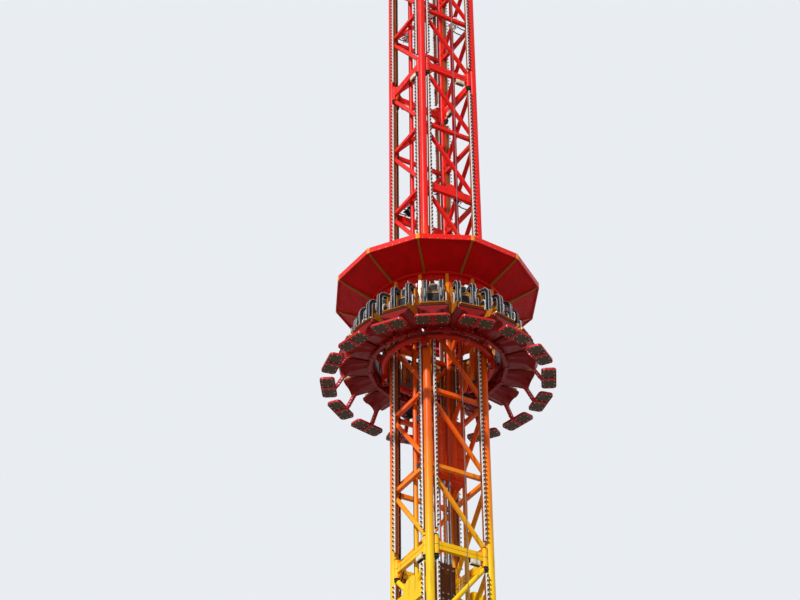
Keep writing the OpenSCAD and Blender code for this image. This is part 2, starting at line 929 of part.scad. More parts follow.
// arm and lower shell of a seat in one hull
module seat_arms() {
    color([0.45, 0.06, 0.05])
        turned(seats, seat_turn)
            intersection() {
                translate([0, arm_broad / 2 + 1, 0])
                    rotate([90, 0, 0])
                        linear_extrude(height = arm_broad + 2)
                            hull_side();
                translate([hull_tail - 1, 0, 0])
                    rotate([90, 0, 90])
                        linear_extrude(height = seat_front - hull_tail + 2)
                            hull_front();
                translate([0, 0, keel_z - 1])
                    linear_extrude(height = pan_z - keel_z + 2)
                        hull_plan();
            }
}

// a plate with round corners
module foot_outline(shrink) {
    corner = 75;
    w = foot_width / 2;
    d = foot_depth / 2;
    union() {
        square([2 * (d - shrink), 2 * (w - corner)], center = true);
        square([2 * (d - corner), 2 * (w - shrink)], center = true);
        for (a = [-1, 1], b = [-1, 1])
            translate([a * (d - corner), b * (w - corner)])
                circle(r = corner - shrink);
    }
}

module foot_rests() {
    inner = foot_r - foot_depth / 2;
    top = keel_z - weld_gap;
    web_low = foot_z - 22;
    web_height = 26;
    color([0.75, 0.1, 0.06])
        turned(seats, seat_turn)
            union() {
                difference() {
                    translate([foot_r, 0, foot_z - foot_lip])
                        linear_extrude(height = foot_rim)
                            foot_outline(0);
                    translate([foot_r, 0, foot_z + foot_thick])
                        linear_extrude(height = foot_rim)
                            foot_outline(foot_edge);
                    translate([foot_r, 0, foot_z - 2 * foot_lip])
                        linear_extrude(height = 2 * foot_lip)
                            foot_outline(foot_edge);
                }
                translate([inner + 10, -foot_arm / 2, web_low])
                    cube([foot_depth - 20, foot_arm, web_height]);
                radial_plate([[seat_front - keel_back - foot_arm, top], [seat_front - keel_back, top],
                    [inner + 40, foot_z], [inner + 40, web_low], [inner - 10, web_low],
                    [inner - 45, foot_z + 30]], foot_arm);
            }
}

module gondola_posts() {
    bearing = [60, 40, 80];
    bearing_y = 225;
    hole_half = 260;
    color([0.7, 0.3, 0.05])
        turned(seats, seat_turn + seat_step / 2)
            difference() {
                union() {
                    translate([post_in, -post / 2, pan_z])
                        cube([post, post, hub_z - weld_gap - pan_z]);
                    for (s = [-1, 1])
                        rotate([0, 0, s * seat_step / 2])
                            translate([hinge_r - 4, -s * bearing_y, hinge_z])
                                cube(bearing, center = true);
                }
                for (s = [-1, 1])
                    rotate([0, 0, s * seat_step / 2])
                        translate([hinge_r, hole_half, hinge_z])
                            rotate([90, 0, 0])
                                cylinder(h = 2 * hole_half, r = hinge_tube + axle_clear);
            }
}

// side view of a seat shell's pan, with a round nose and a lap that dips behind it
module pan_outline() {
    nose = 42;
    dip = 720;
    length = seat_front - back_r;
    difference() {
        union() {
            square([length - nose, pan_height + pan_rise]);
            translate([length - nose, nose + 2])
                circle(r = nose);
            square([length - nose, nose]);
        }
        translate([length - 330, pan_height + dip])
            circle(r = dip);
        translate([length - 2 * nose, -nose * 2])
            rotate([0, 0, 28])
                square([4 * nose, 2 * nose]);
    }
}

module seat_pans() {
    corner = 50;
    rear = seat_width / 2 - 1;
    front = rear + (seat_depth - corner) * tan(seat_splay);
    color([0.8, 0.5, 0.1])
        turned(seats, seat_turn)
            translate([back_r, 0, pan_z])
                intersection() {
                    translate([0, front + 1, 0])
                        rotate([90, 0, 0])
                            linear_extrude(height = 2 * front + 2)
                                pan_outline();
                    translate([0, 0, -1])
                        linear_extrude(height = pan_height + pan_rise + 10)
                            union() {
                                polygon([[0, -rear], [seat_depth - corner, -front],
                                    [seat_depth - corner, front], [0, rear]]);
                                translate([seat_depth - 2 * corner, corner - front])
                                    square([2 * corner, 2 * (front - corner)]);
                                for (s = [-1, 1])
                                    translate([seat_depth - corner, s * (front - corner)])
                                        circle(r = corner);
                            }
                }
}

// front view of a seat back: square shoulders with round corners and a round head rest
module back_outline() {
    corner = 70;
    head = 110;
    wide = seat_width / 2;
    shoulders = back_top - back_z;
    union() {
        translate([-wide, 0])
            square([seat_width, shoulders - corner]);
        translate([corner - wide, 0])
            square([seat_width - 2 * corner, shoulders]);
        for (s = [-1, 1])
            translate([s * (wide - corner), shoulders - corner])
                circle(r = corner);
        translate([0, shoulders + 25])
            circle(r = head);
    }
}

module seat_backs() {
    head_top = back_top + 135;
    color([0.8, 0.5, 0.1])
        turned(seats, seat_turn)
            intersection() {
                radial_plate([[back_r, back_z], [back_r + 112, back_z], [back_r + 84, back_z + 200],
                    [back_r + 56, back_top - 40], [back_r + 62, back_top + 60],
                    [back_r + 50, head_top], [back_r, head_top]], seat_width);
                translate([back_r - 1, 0, back_z])
                    rotate([90, 0, 90])
                        linear_extrude(height = 200)
                            back_outline();
            }
}

// a side of the seat shell: high beside the back, scooped beside the lap, round at the front
module seat_sides() {
    rise = back_top - pan_z;
    wing = 155;
    arm = [340, 370];
    scoop = 310;
    scoop_low = 195;
    top = 60;
    nose = 95;
    length = seat_depth - 60;
    color([0.75, 0.45, 0.08])
        turned(seats, seat_turn)
            for (s = [-1, 1])
                translate([back_r, s * seat_width / 2, pan_z])
                    rotate([90, 0, s * seat_splay])
                        translate([0, 0, s > 0 ? -seat_side : 0])
                            linear_extrude(height = seat_side)
                                difference() {
                                    union() {
                                        square([length - nose, 2 * nose]);
                                        translate([length - nose, nose])
                                            circle(r = nose);
                                        square([wing, rise - top]);
                                        translate([wing - top, rise - top])
                                            circle(r = top);
                                        square([wing - top, rise]);
                                        square(arm);
                                    }
                                    translate([wing + scoop, scoop_low + scoop])
                                        circle(r = scoop);
                                    translate([length - nose * 0.7, -nose * 0.6])
                                        rotate([0, 0, 45])
                                            square([2 * nose, nose]);
                                }
}

// one shoulder bar seen from the side: out from the hinge, round the shoulder and down to the lap
module shoulder_outline() {
    inner = shoulder_bend - shoulder_thick;
    centre = [shoulder_reach, shoulder_thick / 2 - shoulder_bend];
    union() {
        translate([0, -shoulder_thick / 2])
            square([shoulder_reach, shoulder_thick]);
        circle(d = shoulder_thick * 0.62);
        intersection() {
            translate(centre)
                difference() {
                    circle(r = shoulder_bend);
                    circle(r = inner);
                }
            translate(centre)
                square([shoulder_bend, shoulder_bend]);
        }
        translate([shoulder_reach + inner, -lap_down])
            square([shoulder_thick, lap_down + centre[1]]);
        translate([shoulder_reach + inner + shoulder_thick / 2, -lap_down])
            circle(d = shoulder_thick);
    }
}

module restraint() {
    lap_x = shoulder_reach + shoulder_bend - shoulder_thick / 2;
    lap_r = 32;
    tube_half = 240;
    for (s = [-1, 1])
        translate([hinge_r, s * shoulder + shoulder_width / 2, hinge_z])
            rotate([90, 0, 0])
                linear_extrude(height = shoulder_width)
                    shoulder_outline();
    translate([hinge_r + lap_x, shoulder, hinge_z - lap_down])
        rotate([90, 0, 0])
            cylinder(h = 2 * shoulder, r = lap_r);
    translate([hinge_r, tube_half, hinge_z])
        rotate([90, 0, 0])
            cylinder(h = 2 * tube_half, r = hinge_tube);
}

module restraint_at(k) {
    color([0.08, 0.08, 0.09])
        rotate([0, 0, seat_turn + (k - 1) * seat_step])
            union() restraint();
}

module restraint_01() restraint_at(1);
module restraint_02() restraint_at(2);
module restraint_03() restraint_at(3);
module restraint_04() restraint_at(4);
module restraint_05() restraint_at(5);
module restraint_06() restraint_at(6);
module restraint_07() restraint_at(7);
module restraint_08() restraint_at(8);
module restraint_09() restraint_at(9);
module restraint_10() restraint_at(10);
module restraint_11() restraint_at(11);
module restraint_12() restraint_at(12);
module restraint_13() restraint_at(13);
module restraint_14() restraint_at(14);
module restraint_15() restraint_at(15);
module restraint_16() restraint_at(16);

module canopy_hub() {
    color([0.75, 0.1, 0.05])
        translate([0, 0, hub_z])
            difference() {
                cylinder(h = hub_height, r = hub_out);
                translate([0, 0, -1])
                    cylinder(h = hub_height + 2, r = hub_in);
            }
}

module canopy_ribs() {
    foot = hub_in + 20;
    top = hub_z + hub_height + weld_gap;
    tip = canopy_r - rim_thick - 10;
    color([0.75, 0.35, 0.08])
        turned(corners, canopy_turn)
            radial_plate([[foot, top], [hub_out + 0.5, top], [hub_out + 0.5, hub_z + 10],
                [canopy_r - 150, soffit(apothem - 100) - 45], [tip, rim_z + 15],
                [tip, rim_z + rim_height - 15], [foot, roof(foot)]], rib);
}

// a flat panel of one canopy sector between two ribs; it follows a slope from r0, z0 to r1, z1
module sector_panel(r0, z0, r1, z1) {
    slope = atan2(z1 - z0, r1 - r0);
    run = sqrt((r1 - r0) * (r1 - r0) + (z1 - z0) * (z1 - z0));
    spread = tan(corner_step / 2);
    edge = (rib / 2 + panel_gap) / cos(corner_step / 2);
    w0 = r0 * spread - edge;
    w1 = r1 * spread - edge;
    translate([r0, 0, z0])
        rotate([0, -slope, 0])
            linear_extrude(height = panel)
                polygon([[0, -w0], [run, -w1], [run, w1], [0, w0]]);
}

module canopy_soffit() {
    r1 = apothem - rim_thick - weld_gap;
    color([0.5, 0.05, 0.05])
        turned(corners, canopy_turn + corner_step / 2)
            sector_panel(soffit_in, soffit(soffit_in), r1, soffit(r1));
}

module canopy_roof() {
    under = panel + 4;
    r0 = hub_in + 40;
    r1 = apothem - rim_thick - panel * 0.36 - weld_gap;
    color([0.8, 0.1, 0.05])
        turned(corners, canopy_turn + corner_step / 2)
            sector_panel(r0, roof(r0) - under, r1, roof(r1) - under);
}

module canopy_rim() {
    length = 2 * (apothem * tan(corner_step / 2) - cap_reach - weld_gap);
    color([0.85, 0.1, 0.05])
        turned(corners, canopy_turn + corner_step / 2)
            translate([apothem - rim_thick, -length / 2, rim_z])
                cube([rim_thick, length, rim_height]);
}

module canopy_caps() {
    over = 4;
    t = corner_step / 2;
    along = [-cap_reach * sin(t), cap_reach * cos(t)];
    inward = [-rim_thick * cos(t), -rim_thick * sin(t)];
    color([0.95, 0.55, 0.1])
        turned(corners, canopy_turn)
            translate([canopy_r, 0, rim_z - over])
                linear_extrude(height = rim_height + 2 * over)
                    polygon([[0, 0], along, along + inward, [-rim_thick / cos(t), 0],
                        [along[0] + inward[0], -along[1] - inward[1]], [along[0], -along[1]]]);
}

module inner_skirt() {
    thick = 16;
    color([0.7, 0.08, 0.05])
        turned(seats, seat_turn + seat_step / 2)
            translate([post_in - thick, -side_length / 2, hub_z - skirt_height])
                cube([thick, side_length, skirt_height - weld_gap]);
}

base_frame();
legs();
front_lattice();
right_lattice();
back_lattice();
left_lattice();
guide_rails();
light_strips();
lamp_boxes();
hoist_ropes();
head_frame();
head_sheaves();
base_stands();
base_sheaves();
drive_motors();
counterweight_rails();
counterweight_frame();
counterweight_blocks();
counterweight_shoes();
hoist_block();
carriage_ring();
upper_ring();
carriage_posts();
guide_rollers();
slew_ring_inner();
slew_ring_outer();
tie_bars();
seat_arms();
foot_rests();
gondola_posts();
seat_pans();
seat_backs();
seat_sides();
canopy_hub();
canopy_ribs();
canopy_soffit();
canopy_roof();
canopy_rim();
canopy_caps();
inner_skirt();
restraint_01();
restraint_02();
restraint_03();
restraint_04();
restraint_05();
restraint_06();
restraint_07();
restraint_08();
restraint_09();
restraint_10();
restraint_11();
restraint_12();
restraint_13();
restraint_14();
restraint_15();
restraint_16();
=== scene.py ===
import math

import bmesh
import bpy
from mathutils import Matrix, Vector


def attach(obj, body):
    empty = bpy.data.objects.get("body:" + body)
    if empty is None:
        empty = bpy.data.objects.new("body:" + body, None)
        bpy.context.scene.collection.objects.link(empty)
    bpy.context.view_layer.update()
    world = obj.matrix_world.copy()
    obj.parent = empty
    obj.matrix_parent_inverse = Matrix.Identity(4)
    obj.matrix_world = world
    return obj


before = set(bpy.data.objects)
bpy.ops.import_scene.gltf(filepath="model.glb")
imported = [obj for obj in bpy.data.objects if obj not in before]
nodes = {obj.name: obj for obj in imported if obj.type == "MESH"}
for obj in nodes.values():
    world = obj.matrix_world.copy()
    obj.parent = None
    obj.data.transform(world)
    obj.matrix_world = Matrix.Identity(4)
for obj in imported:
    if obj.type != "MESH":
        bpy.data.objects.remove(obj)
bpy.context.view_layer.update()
print("frame loaded:", len(nodes), "CAD nodes")


# helpers for node materials

def toLinear(hexColour):
    # sRGB hex to the linear values Blender works in
    parts = [int(hexColour[i:i + 2], 16) / 255 for i in (1, 3, 5)]
    return [p / 12.92 if p <= 0.04045 else ((p + 0.055) / 1.055) ** 2.4 for p in parts] + [1]


def setInput(tree, target, value):
    # a value is a socket to link, a hex colour or a number
    if isinstance(value, bpy.types.NodeSocket):
        tree.links.new(value, target)
    else:
        target.default_value = toLinear(value) if isinstance(value, str) else value


def addNode(tree, kind, settings=None, **properties):
    # settings are the values of inputs by name or index
    node = tree.nodes.new(kind)
    for key, value in properties.items():
        setattr(node, key, value)
    for key, value in (settings or {}).items():
        setInput(tree, node.inputs[key], value)
    return node


def newMaterial(name):
    material = bpy.data.materials.new(name)
    material.use_nodes = True
    return material, material.node_tree


def setShader(tree, settings, bumpHeight=None, bumpMm=1.0, bumpStrength=0.4):
    shader = tree.nodes["Principled BSDF"]
    for key, value in settings.items():
        setInput(tree, shader.inputs[key], value)
    if bumpHeight:
        bump = {"Strength": bumpStrength, "Distance": bumpMm / 1000, "Height": bumpHeight}
        setInput(tree, shader.inputs["Normal"], addNode(tree, "ShaderNodeBump", bump).outputs[0])


def objectPlace(tree, stretch=(1, 1, 1)):
    # object coordinates in metres, stretched where a pattern needs it
    place = addNode(tree, "ShaderNodeTexCoord").outputs["Object"]
    return addNode(tree, "ShaderNodeMapping", {"Scale": stretch, "Vector": place}).outputs[0]


def noise(tree, sizeMm, detail=3, stretch=(1, 1, 1), roughness=0.55):
    # noise whose blotches are about sizeMm across
    return addNode(tree, "ShaderNodeTexNoise", {"Scale": 1000 / sizeMm, "Detail": detail, "Roughness": roughness,
                                                "Vector": objectPlace(tree, stretch)}).outputs["Fac"]


def ramp(tree, source, low, high, start=0.0, end=1.0):
    return addNode(tree, "ShaderNodeMapRange", {0: source, 1: low, 2: high, 3: start, 4: end}).outputs[0]


def blend(tree, factor, first, second, kind="MIX"):
    settings = {0: factor, 6: first, 7: second}
    return addNode(tree, "ShaderNodeMix", settings, data_type="RGBA", blend_type=kind).outputs[2]


# finishes

mastPaint = {
    "stops": ((0, "#FFCB05"), (19.0, "#FFCB05"), (20.3, "#FF9A0A"), (21.9, "#FF6208"), (25.2, "#FF6208"),
              (27.0, "#F41408")), "top": 38.7, "wobbleMm": 1500, "wobble": 0.5,
}
enamel = {"specular": 0.18, "coatRoughness": 0.15, "fadeMm": 700, "fade": 0.12, "faded": "#FFE3B8",
          "streakMm": 90, "streakStretch": (1, 1, 0.12), "speckMm": 22, "peelMm": 14}


def mastColour(tree):
    # the sprayed fade from yellow at the foot through orange to red
    place = addNode(tree, "ShaderNodeTexCoord").outputs["Object"]
    up = addNode(tree, "ShaderNodeSeparateXYZ", {0: place}).outputs[2]
    wobble = addNode(tree, "ShaderNodeMath", {0: noise(tree, mastPaint["wobbleMm"]), 1: mastPaint["wobble"], 2: up},
                     operation="MULTIPLY_ADD")
    fade = addNode(tree, "ShaderNodeValToRGB", {0: ramp(tree, wobble.outputs[0], 0, mastPaint["top"])})
    stops = mastPaint["stops"]
    elements = fade.color_ramp.elements
    elements[1].position = 1
    elements[0].color, elements[1].color = toLinear(stops[0][1]), toLinear(stops[-1][1])
    for z, colour in stops[1:]:
        elements.new(z / mastPaint["top"]).color = toLinear(colour)
    return fade.outputs[0]


def sprayedSteel(name, colour=None, dirt="#4A2A1A", roughness=0.38, dirtAmount=0.5, coat=0.06):
    # two pack enamel sprayed on steel: glossy, slightly faded in patches, with rain streaks of grime
    material, tree = newMaterial(name)
    fading = ramp(tree, noise(tree, enamel["fadeMm"], 4), 0.35, 0.75, 0, enamel["fade"])
    faded = blend(tree, fading, colour or mastColour(tree), enamel["faded"], "SOFT_LIGHT")
    streaks = noise(tree, enamel["streakMm"], 5, enamel["streakStretch"], 0.65)
    grimy = blend(tree, ramp(tree, streaks, 0.56, 0.8, 0, dirtAmount), faded, dirt)
    specks = ramp(tree, noise(tree, enamel["speckMm"], 2), 0.7, 0.78, 0, 0.7 * dirtAmount)
    setShader(tree, {"Base Color": blend(tree, specks, grimy, dirt),
                     "Roughness": ramp(tree, streaks, 0.3, 0.8, roughness - 0.08, roughness + 0.25),
                     "Specular IOR Level": enamel["specular"], "Coat Weight": coat,
                     "Coat Roughness": enamel["coatRoughness"]}, noise(tree, enamel["peelMm"], 2), 0.6, 0.25)
    return material


def rolledSteel(name, light, dark, roughness=0.42, grainMm=30):
    # bare or blackened rolled steel: dull metal with long drawn marks and rusty bloom
    material, tree = newMaterial(name)
    drawn = noise(tree, grainMm, 4, (1, 1, 0.08))
    bloom = ramp(tree, noise(tree, 160, 5), 0.5, 0.72, 0, 0.6)
    setShader(tree, {"Base Color": blend(tree, bloom, blend(tree, drawn, dark, light), "#6B3A1E"), "Metallic": 0.9,
                     "Roughness": ramp(tree, drawn, 0.2, 0.8, roughness - 0.12, roughness + 0.18)}, drawn, 0.8, 0.3)
    return material


def plainMetal(name, light, dark, roughness=0.35, grainMm=12):
    # zinc plated or galvanised steel: bright grey, a little blotched, duller in patches
    material, tree = newMaterial(name)
    blotch = noise(tree, grainMm, 3)
    dull = ramp(tree, noise(tree, 45, 4), 0.3, 0.7, roughness, roughness + 0.25)
    setShader(tree, {"Base Color": blend(tree, ramp(tree, blotch, 0.3, 0.7), dark, light), "Metallic": 0.85,
                     "Roughness": dull}, blotch, 0.3, 0.25)
    return material


def mouldedShell(name, colour, shade, roughness=0.28, mottleMm=350, coat=0.12):
    # glass fibre or plastic moulding with a gel coat: glossy, faintly wavy, dull where it is rubbed
    material, tree = newMaterial(name)
    mottle = ramp(tree, noise(tree, mottleMm, 4), 0.35, 0.7)
    setShader(tree, {"Base Color": blend(tree, mottle, colour, shade),
                     "Roughness": ramp(tree, noise(tree, 60, 5), 0.4, 0.7, roughness, roughness + 0.3),
                     "Specular IOR Level": 0.15, "Coat Weight": coat, "Coat Roughness": 0.12},
              noise(tree, 120, 1), 2.0, 0.2)
    return material


def domeAcrylic(name, colour, core):
    # smoked acrylic dome over a small lamp: very glossy, the lamp's core shows as a lighter patch; its dark colour is
    # partly painted shade for the unlit lamp's dark inside
    material, tree = newMaterial(name)
    cell = ramp(tree, noise(tree, 60, 1), 0.4, 0.65)
    setShader(tree, {"Base Color": blend(tree, cell, colour, core), "Roughness": 0.12, "IOR": 1.49, "Coat Weight": 0.6,
                     "Coat Roughness": 0.05}, noise(tree, 8, 1), 0.3, 0.15)
    return material


def mouldedRubber(name, colour="#0E0E10", worn="#3A3A3C", grainMm=9):
    # polyurethane foam skin or tyre: matt black, pebbled, greyed where it is rubbed
    material, tree = newMaterial(name)
    rubbed = ramp(tree, noise(tree, 120, 5), 0.5, 0.75, 0, 0.55)
    setShader(tree, {"Base Color": blend(tree, rubbed, colour, worn), "Specular IOR Level": 0.3, "Sheen Weight": 0.05,
                     "Roughness": ramp(tree, rubbed, 0, 0.6, 0.62, 0.45)}, noise(tree, grainMm, 2), 0.8, 0.4)
    return material


def paddedSkin(name, colour, worn, grainMm=6):
    # leathercloth over foam: matt black with a fine grain, polished where it is sat on
    material, tree = newMaterial(name)
    rubbed = ramp(tree, noise(tree, 160, 4), 0.45, 0.7, 0, 0.6)
    grain = addNode(tree, "ShaderNodeTexVoronoi", {"Scale": 1000 / grainMm, "Vector": objectPlace(tree)})
    setShader(tree, {"Base Color": blend(tree, rubbed, colour, worn), "Specular IOR Level": 0.3, "Sheen Weight": 0.08,
                     "Roughness": ramp(tree, rubbed, 0, 0.6, 0.6, 0.38)}, grain.outputs["Distance"], 0.7, 0.35)
    return material


def wovenWebbing(name, colour, shade, pitchMm=12):
    # woven polyester strap: ribbed along its length, drawn coarser than the real 2 mm pitch so that it shows
    material, tree = newMaterial(name)
    ribs = addNode(tree, "ShaderNodeTexWave", {"Scale": 1000 / pitchMm / 6.28, "Distortion": 0.6,
                                               "Vector": objectPlace(tree)}, bands_direction="Z").outputs["Fac"]
    # painted shade: the grooves between the ribs take the darker colour, following the bump
    ribsWithPaintedShade = blend(tree, ribs, shade, colour)
    setShader(tree, {"Base Color": ribsWithPaintedShade, "Roughness": 0.8, "Sheen Weight": 0.2}, ribs, 1.0, 0.5)
    return material


# the CAD model's own finishes first, then those of the pieces added here
finishes = {
    "base_steel": sprayedSteel("greyPrimedSteel", "#56585C", roughness=0.45, coat=0.0),
    "mast_paint": sprayedSteel("fadedMastEnamel"),
    "rail_steel": sprayedSteel("brownRailPaint", "#7E5646", dirt="#2A1A12", roughness=0.4, coat=0.1),
    "light_channel": sprayedSteel("whiteChannelPaint", "#FFFDF8", dirt="#C8B49C", roughness=0.4, dirtAmount=0.3),
    "lamp_shade": mouldedShell("agedPolycarbonate", "#F2E6C8", "#D8C49A"),
    "rope_steel": rolledSteel("greasedWireRope", "#6A6A6C", "#2A2A2C", roughness=0.4),
    "sheave_steel": sprayedSteel("darkCastIronPaint", "#4A4C50", roughness=0.45, coat=0.0),
    "motor_blue": sprayedSteel("blueMotorEnamel", "#27435F", roughness=0.4),
    "weight_orange": sprayedSteel("orangeWeightEnamel", "#E5480E", dirt="#3A160C"),
    "weight_red": sprayedSteel("redOrangeWeightEnamel", "#F0500C", dirt="#3A160C"),
    # painted shade: the hoist block's brown is its orange-yellow paint drawn darkened, as it looks in shadow
    "block_brown": sprayedSteel("blockPaintedShade", "#6E3F22", dirt="#24140C", roughness=0.5, coat=0.0),
    "carriage_red": sprayedSteel("redCarriageEnamel", "#D82408", dirt="#3A100A"),
    "frame_orange": sprayedSteel("orangeFrameEnamel", "#F08A12"),
    "roller_black": mouldedRubber("polyurethaneTyre"),
    "race_steel": rolledSteel("groundRaceSteel", "#8C8C8E", "#4A4A4C"),
    "gondola_red": sprayedSteel("deepRedEnamel", "#980E08", dirt="#2A0C08"),
    "arm_red": sprayedSteel("darkRedArmEnamel", "#8E0C08", dirt="#240806"),
    "foot_rest_red": sprayedSteel("redFootRestEnamel", "#C0140C", dirt="#3A100C"),
    "seat_shell": mouldedShell("ochreGelCoat", "#D0801A", "#A86414"),
    "rib_orange": sprayedSteel("orangeRibEnamel", "#A8621A", dirt="#3A1C0E"),
    "canopy_inside": mouldedShell("darkRedGelCoat", "#EE060A", "#CC0408", roughness=0.45, coat=0.0),
    "canopy_red": mouldedShell("brightRedGelCoat", "#F41C08", "#E61608"),
    "cap_orange": mouldedShell("orangeGelCoat", "#FFA010", "#F08A0C"),
    "skirt_red": sprayedSteel("brightRedEnamel", "#DC140A", dirt="#3A100A"),
    "restraint_black": mouldedRubber("blackFoamSkin"),
    "zinc": plainMetal("zincPlatedSteel", "#C9CACC", "#8E8F92"),
    "blackNut": plainMetal("blackenedSteel", "#3A3A3C", "#161618", 0.45),
    "whiteCollar": mouldedShell("whitePolycarbonate", "#FFFEFA", "#EEE8DC", 0.35, 90),
    # the domes' near-black is partly the smoked lens and partly painted shade for the dark inside of the unlit lamps
    "amberDome": domeAcrylic("smokedAcrylicPaintedShade", "#200806", "#5A1C10"),
    # painted shade: the webs and clips carry the mast's orange darkened to brown, as it looks in shadow behind the
    # strips
    "webShadedOrange": sprayedSteel("webOrangePaintedShade", "#A8521C", dirt="#2A1610", roughness=0.42, coat=0.1),
    "gussetPaint": sprayedSteel("gussetEnamel", "#F0760E", dirt="#3A1C0E"),
    "cableSkin": mouldedRubber("blackCableSkin", "#121214", "#2E2E30", 14),
    "lensGlass": mouldedShell("creamLampGlass", "#F6ECCF", "#E2CFA4", 0.18, 60),
    "blackPlastic": mouldedRubber("blackNylon", "#151517", "#38383A", 10),
    "greyPlastic": mouldedShell("greyPolyamide", "#9A9DA0", "#6F7275", 0.4, 60),
    "whitePlastic": mouldedShell("whitePolyamide", "#E8E8E4", "#B4B2AA", 0.35, 60),
    "olivePanel": sprayedSteel("oliveBrownPanel", "#54402A", dirt="#2A2416", roughness=0.5, dirtAmount=0.6, coat=0.0),
    "seatSkin": paddedSkin("blackLeathercloth", "#121214", "#2C2C30"),
    "grip": mouldedRubber("greyGripRubber", "#8C8C90", "#B8B8BC", 10),
    "piping": mouldedShell("greyPiping", "#B8BABE", "#8E9094", 0.45, 50),
    "webbing": wovenWebbing("blackWebbing", "#1E1E22", "#0C0C0E"),
    "redRod": sprayedSteel("redRodEnamel", "#E0200C"),
    "orangeRod": sprayedSteel("orangeRodEnamel", "#FF8A12"),
    "whiteRod": mouldedShell("whiteRodSleeve", "#F0EEE6", "#C8C4B8", 0.35, 80),
    "galvanised": plainMetal("galvanisedSteel", "#B9BCC0", "#7E8286", 0.4, 30),
}
for name, node in nodes.items():
    for index, old in enumerate(list(node.data.materials)):
        key = old.name.split(".")[0]
        if key in finishes:
            node.data.materials[index] = finishes[key]
        else:
            print("no finish for", name, old.name)
print("finishes made:", len(finishes))


# mesh building: a shape is a list of points and faces in metres, in the frame of the CAD model

def newShapes(count):
    return [{"points": [], "faces": []} for _ in range(count)]


def addFaces(shape, points, faces, place=None):
    start = len(shape["points"])
    shape["points"] += [tuple(place @ Vector(p)) if place else tuple(p) for p in points]
    shape["faces"] += [[start + i for i in face] for face in faces]


def addTurned(shape, profile, place, sides=16):
    # a turned form: the profile is (radius, height) from one end of the axis to the other
    points, faces, rings = [], [], []
    for radius, height in profile:
        if radius < 1e-6:
            rings.append([len(points)])
            points.append((0, 0, height))
        else:
            rings.append(list(range(len(points), len(points) + sides)))
            angles = [2 * math.pi * i / sides for i in range(sides)]
            points += [(radius * math.cos(a), radius * math.sin(a), height) for a in angles]
    for low, high in zip(rings, rings[1:]):
        for i in range(sides):
            j = (i + 1) % sides
            corners = [low[i % len(low)], low[j % len(low)], high[j % len(high)], high[i % len(high)]]
            corners = list(dict.fromkeys(corners))
            if len(corners) > 2:
                faces.append(corners)
    addFaces(shape, points, faces, place)


def disc(radius, low, high, start=(0, 0), end=(0, 0), bore=0):
    # profile of a disc, stud or ring; start and end are its chamfers, inward and along the axis
    points = ((bore, low), (radius - start[0], low), (radius, low + start[1]),
              (radius, high - end[1]), (radius - end[0], high), (bore, high))
    return list(dict.fromkeys(points))


def addBlock(shape, low, high, place=None, edge=0.003):
    # a block whose edges are all chamfered
    points, faces, index = [], [], {}
    corners = [(x, y, z) for x in (0, 1) for y in (0, 1) for z in (0, 1)]
    for signs in corners:
        for axis in range(3):
            index[signs, axis] = len(points)
            inward = [0 if i == axis else edge * (1 - 2 * signs[i]) for i in range(3)]
            points.append([(low[i], high[i])[signs[i]] + inward[i] for i in range(3)])

    def corner(axis, side, a, b):
        signs = [0, 0, 0]
        u, v = [i for i in range(3) if i != axis]
        signs[axis], signs[u], signs[v] = side, a, b
        return tuple(signs)

    for axis in range(3):
        u, v = [i for i in range(3) if i != axis]
        for side in (0, 1):
            faces.append([index[corner(axis, side, a, b), axis] for a, b in ((0, 0), (1, 0), (1, 1), (0, 1))])
        for a in (0, 1):
            for b in (0, 1):
                first, last = corner(axis, 0, a, b), corner(axis, 1, a, b)
                faces.append([index[first, u], index[first, v], index[last, v], index[last, u]])
    faces += [[index[signs, axis] for axis in range(3)] for signs in corners]
    addFaces(shape, points, faces, place)


def addTube(shape, path, radius, sides=10, place=None):
    # a round bar along a path, with slightly domed ends
    path = [Vector(p) for p in path]
    ahead = (path[1] - path[0]).normalized()
    across = ahead.orthogonal().normalized()
    points, faces, rings = [], [], []
    for i, p in enumerate(path):
        before = path[max(i - 1, 0)]
        after = path[min(i + 1, len(path) - 1)]
        turn = ahead.rotation_difference((after - before).normalized())
        ahead = (after - before).normalized()
        across = (turn @ across).normalized()
        beside = ahead.cross(across)
        rings.append(len(points))
        for k in range(sides):
            a = 2 * math.pi * k / sides
            points.append(p + radius * (math.cos(a) * across + math.sin(a) * beside))
    for a, b in zip(rings, rings[1:]):
        faces += [[a + k, a + (k + 1) % sides, b + (k + 1) % sides, b + k] for k in range(sides)]
    for start, end, inner in ((rings[0], path[0], path[1]), (rings[-1], path[-1], path[-2])):
        points.append(end + (end - inner).normalized() * radius * 0.3)
        faces += [[start + k, start + (k + 1) % sides, len(points) - 1] for k in range(sides)]
    addFaces(shape, points, faces, place)


def addPlate(shape, outline, thickness, place=None, edge=0.002):
    # a plate with a chamfered rim; the outline runs anticlockwise and the plate rises from it
    count = len(outline)
    area = sum(outline[i - 1][0] * outline[i][1] - outline[i][0] * outline[i - 1][1] for i in range(count))
    if area < 0:
        return addPlate(shape, list(reversed(outline)), thickness, place, edge)
    inner = []
    for i in range(count):
        p, before, after = (Vector(outline[j % count]) for j in (i, i - 1, i + 1))
        first, second = (p - before).normalized(), (after - p).normalized()
        normal = Vector((-(first.y + second.y), first.x + second.x)).normalized()
        inner.append(p + normal * edge / max(normal.dot(Vector((-first.y, first.x))), 0.4))
    layers = ((inner, 0), (outline, edge), (outline, thickness - edge), (inner, thickness))
    points = [(p[0], p[1], z) for line, z in layers for p in line]
    faces = [[k * count + i, k * count + (i + 1) % count, (k + 1) * count + (i + 1) % count, (k + 1) * count + i]
             for k in range(3) for i in range(count)]
    faces += [list(range(count)), list(range(3 * count, 4 * count))]
    addFaces(shape, points, faces, place)


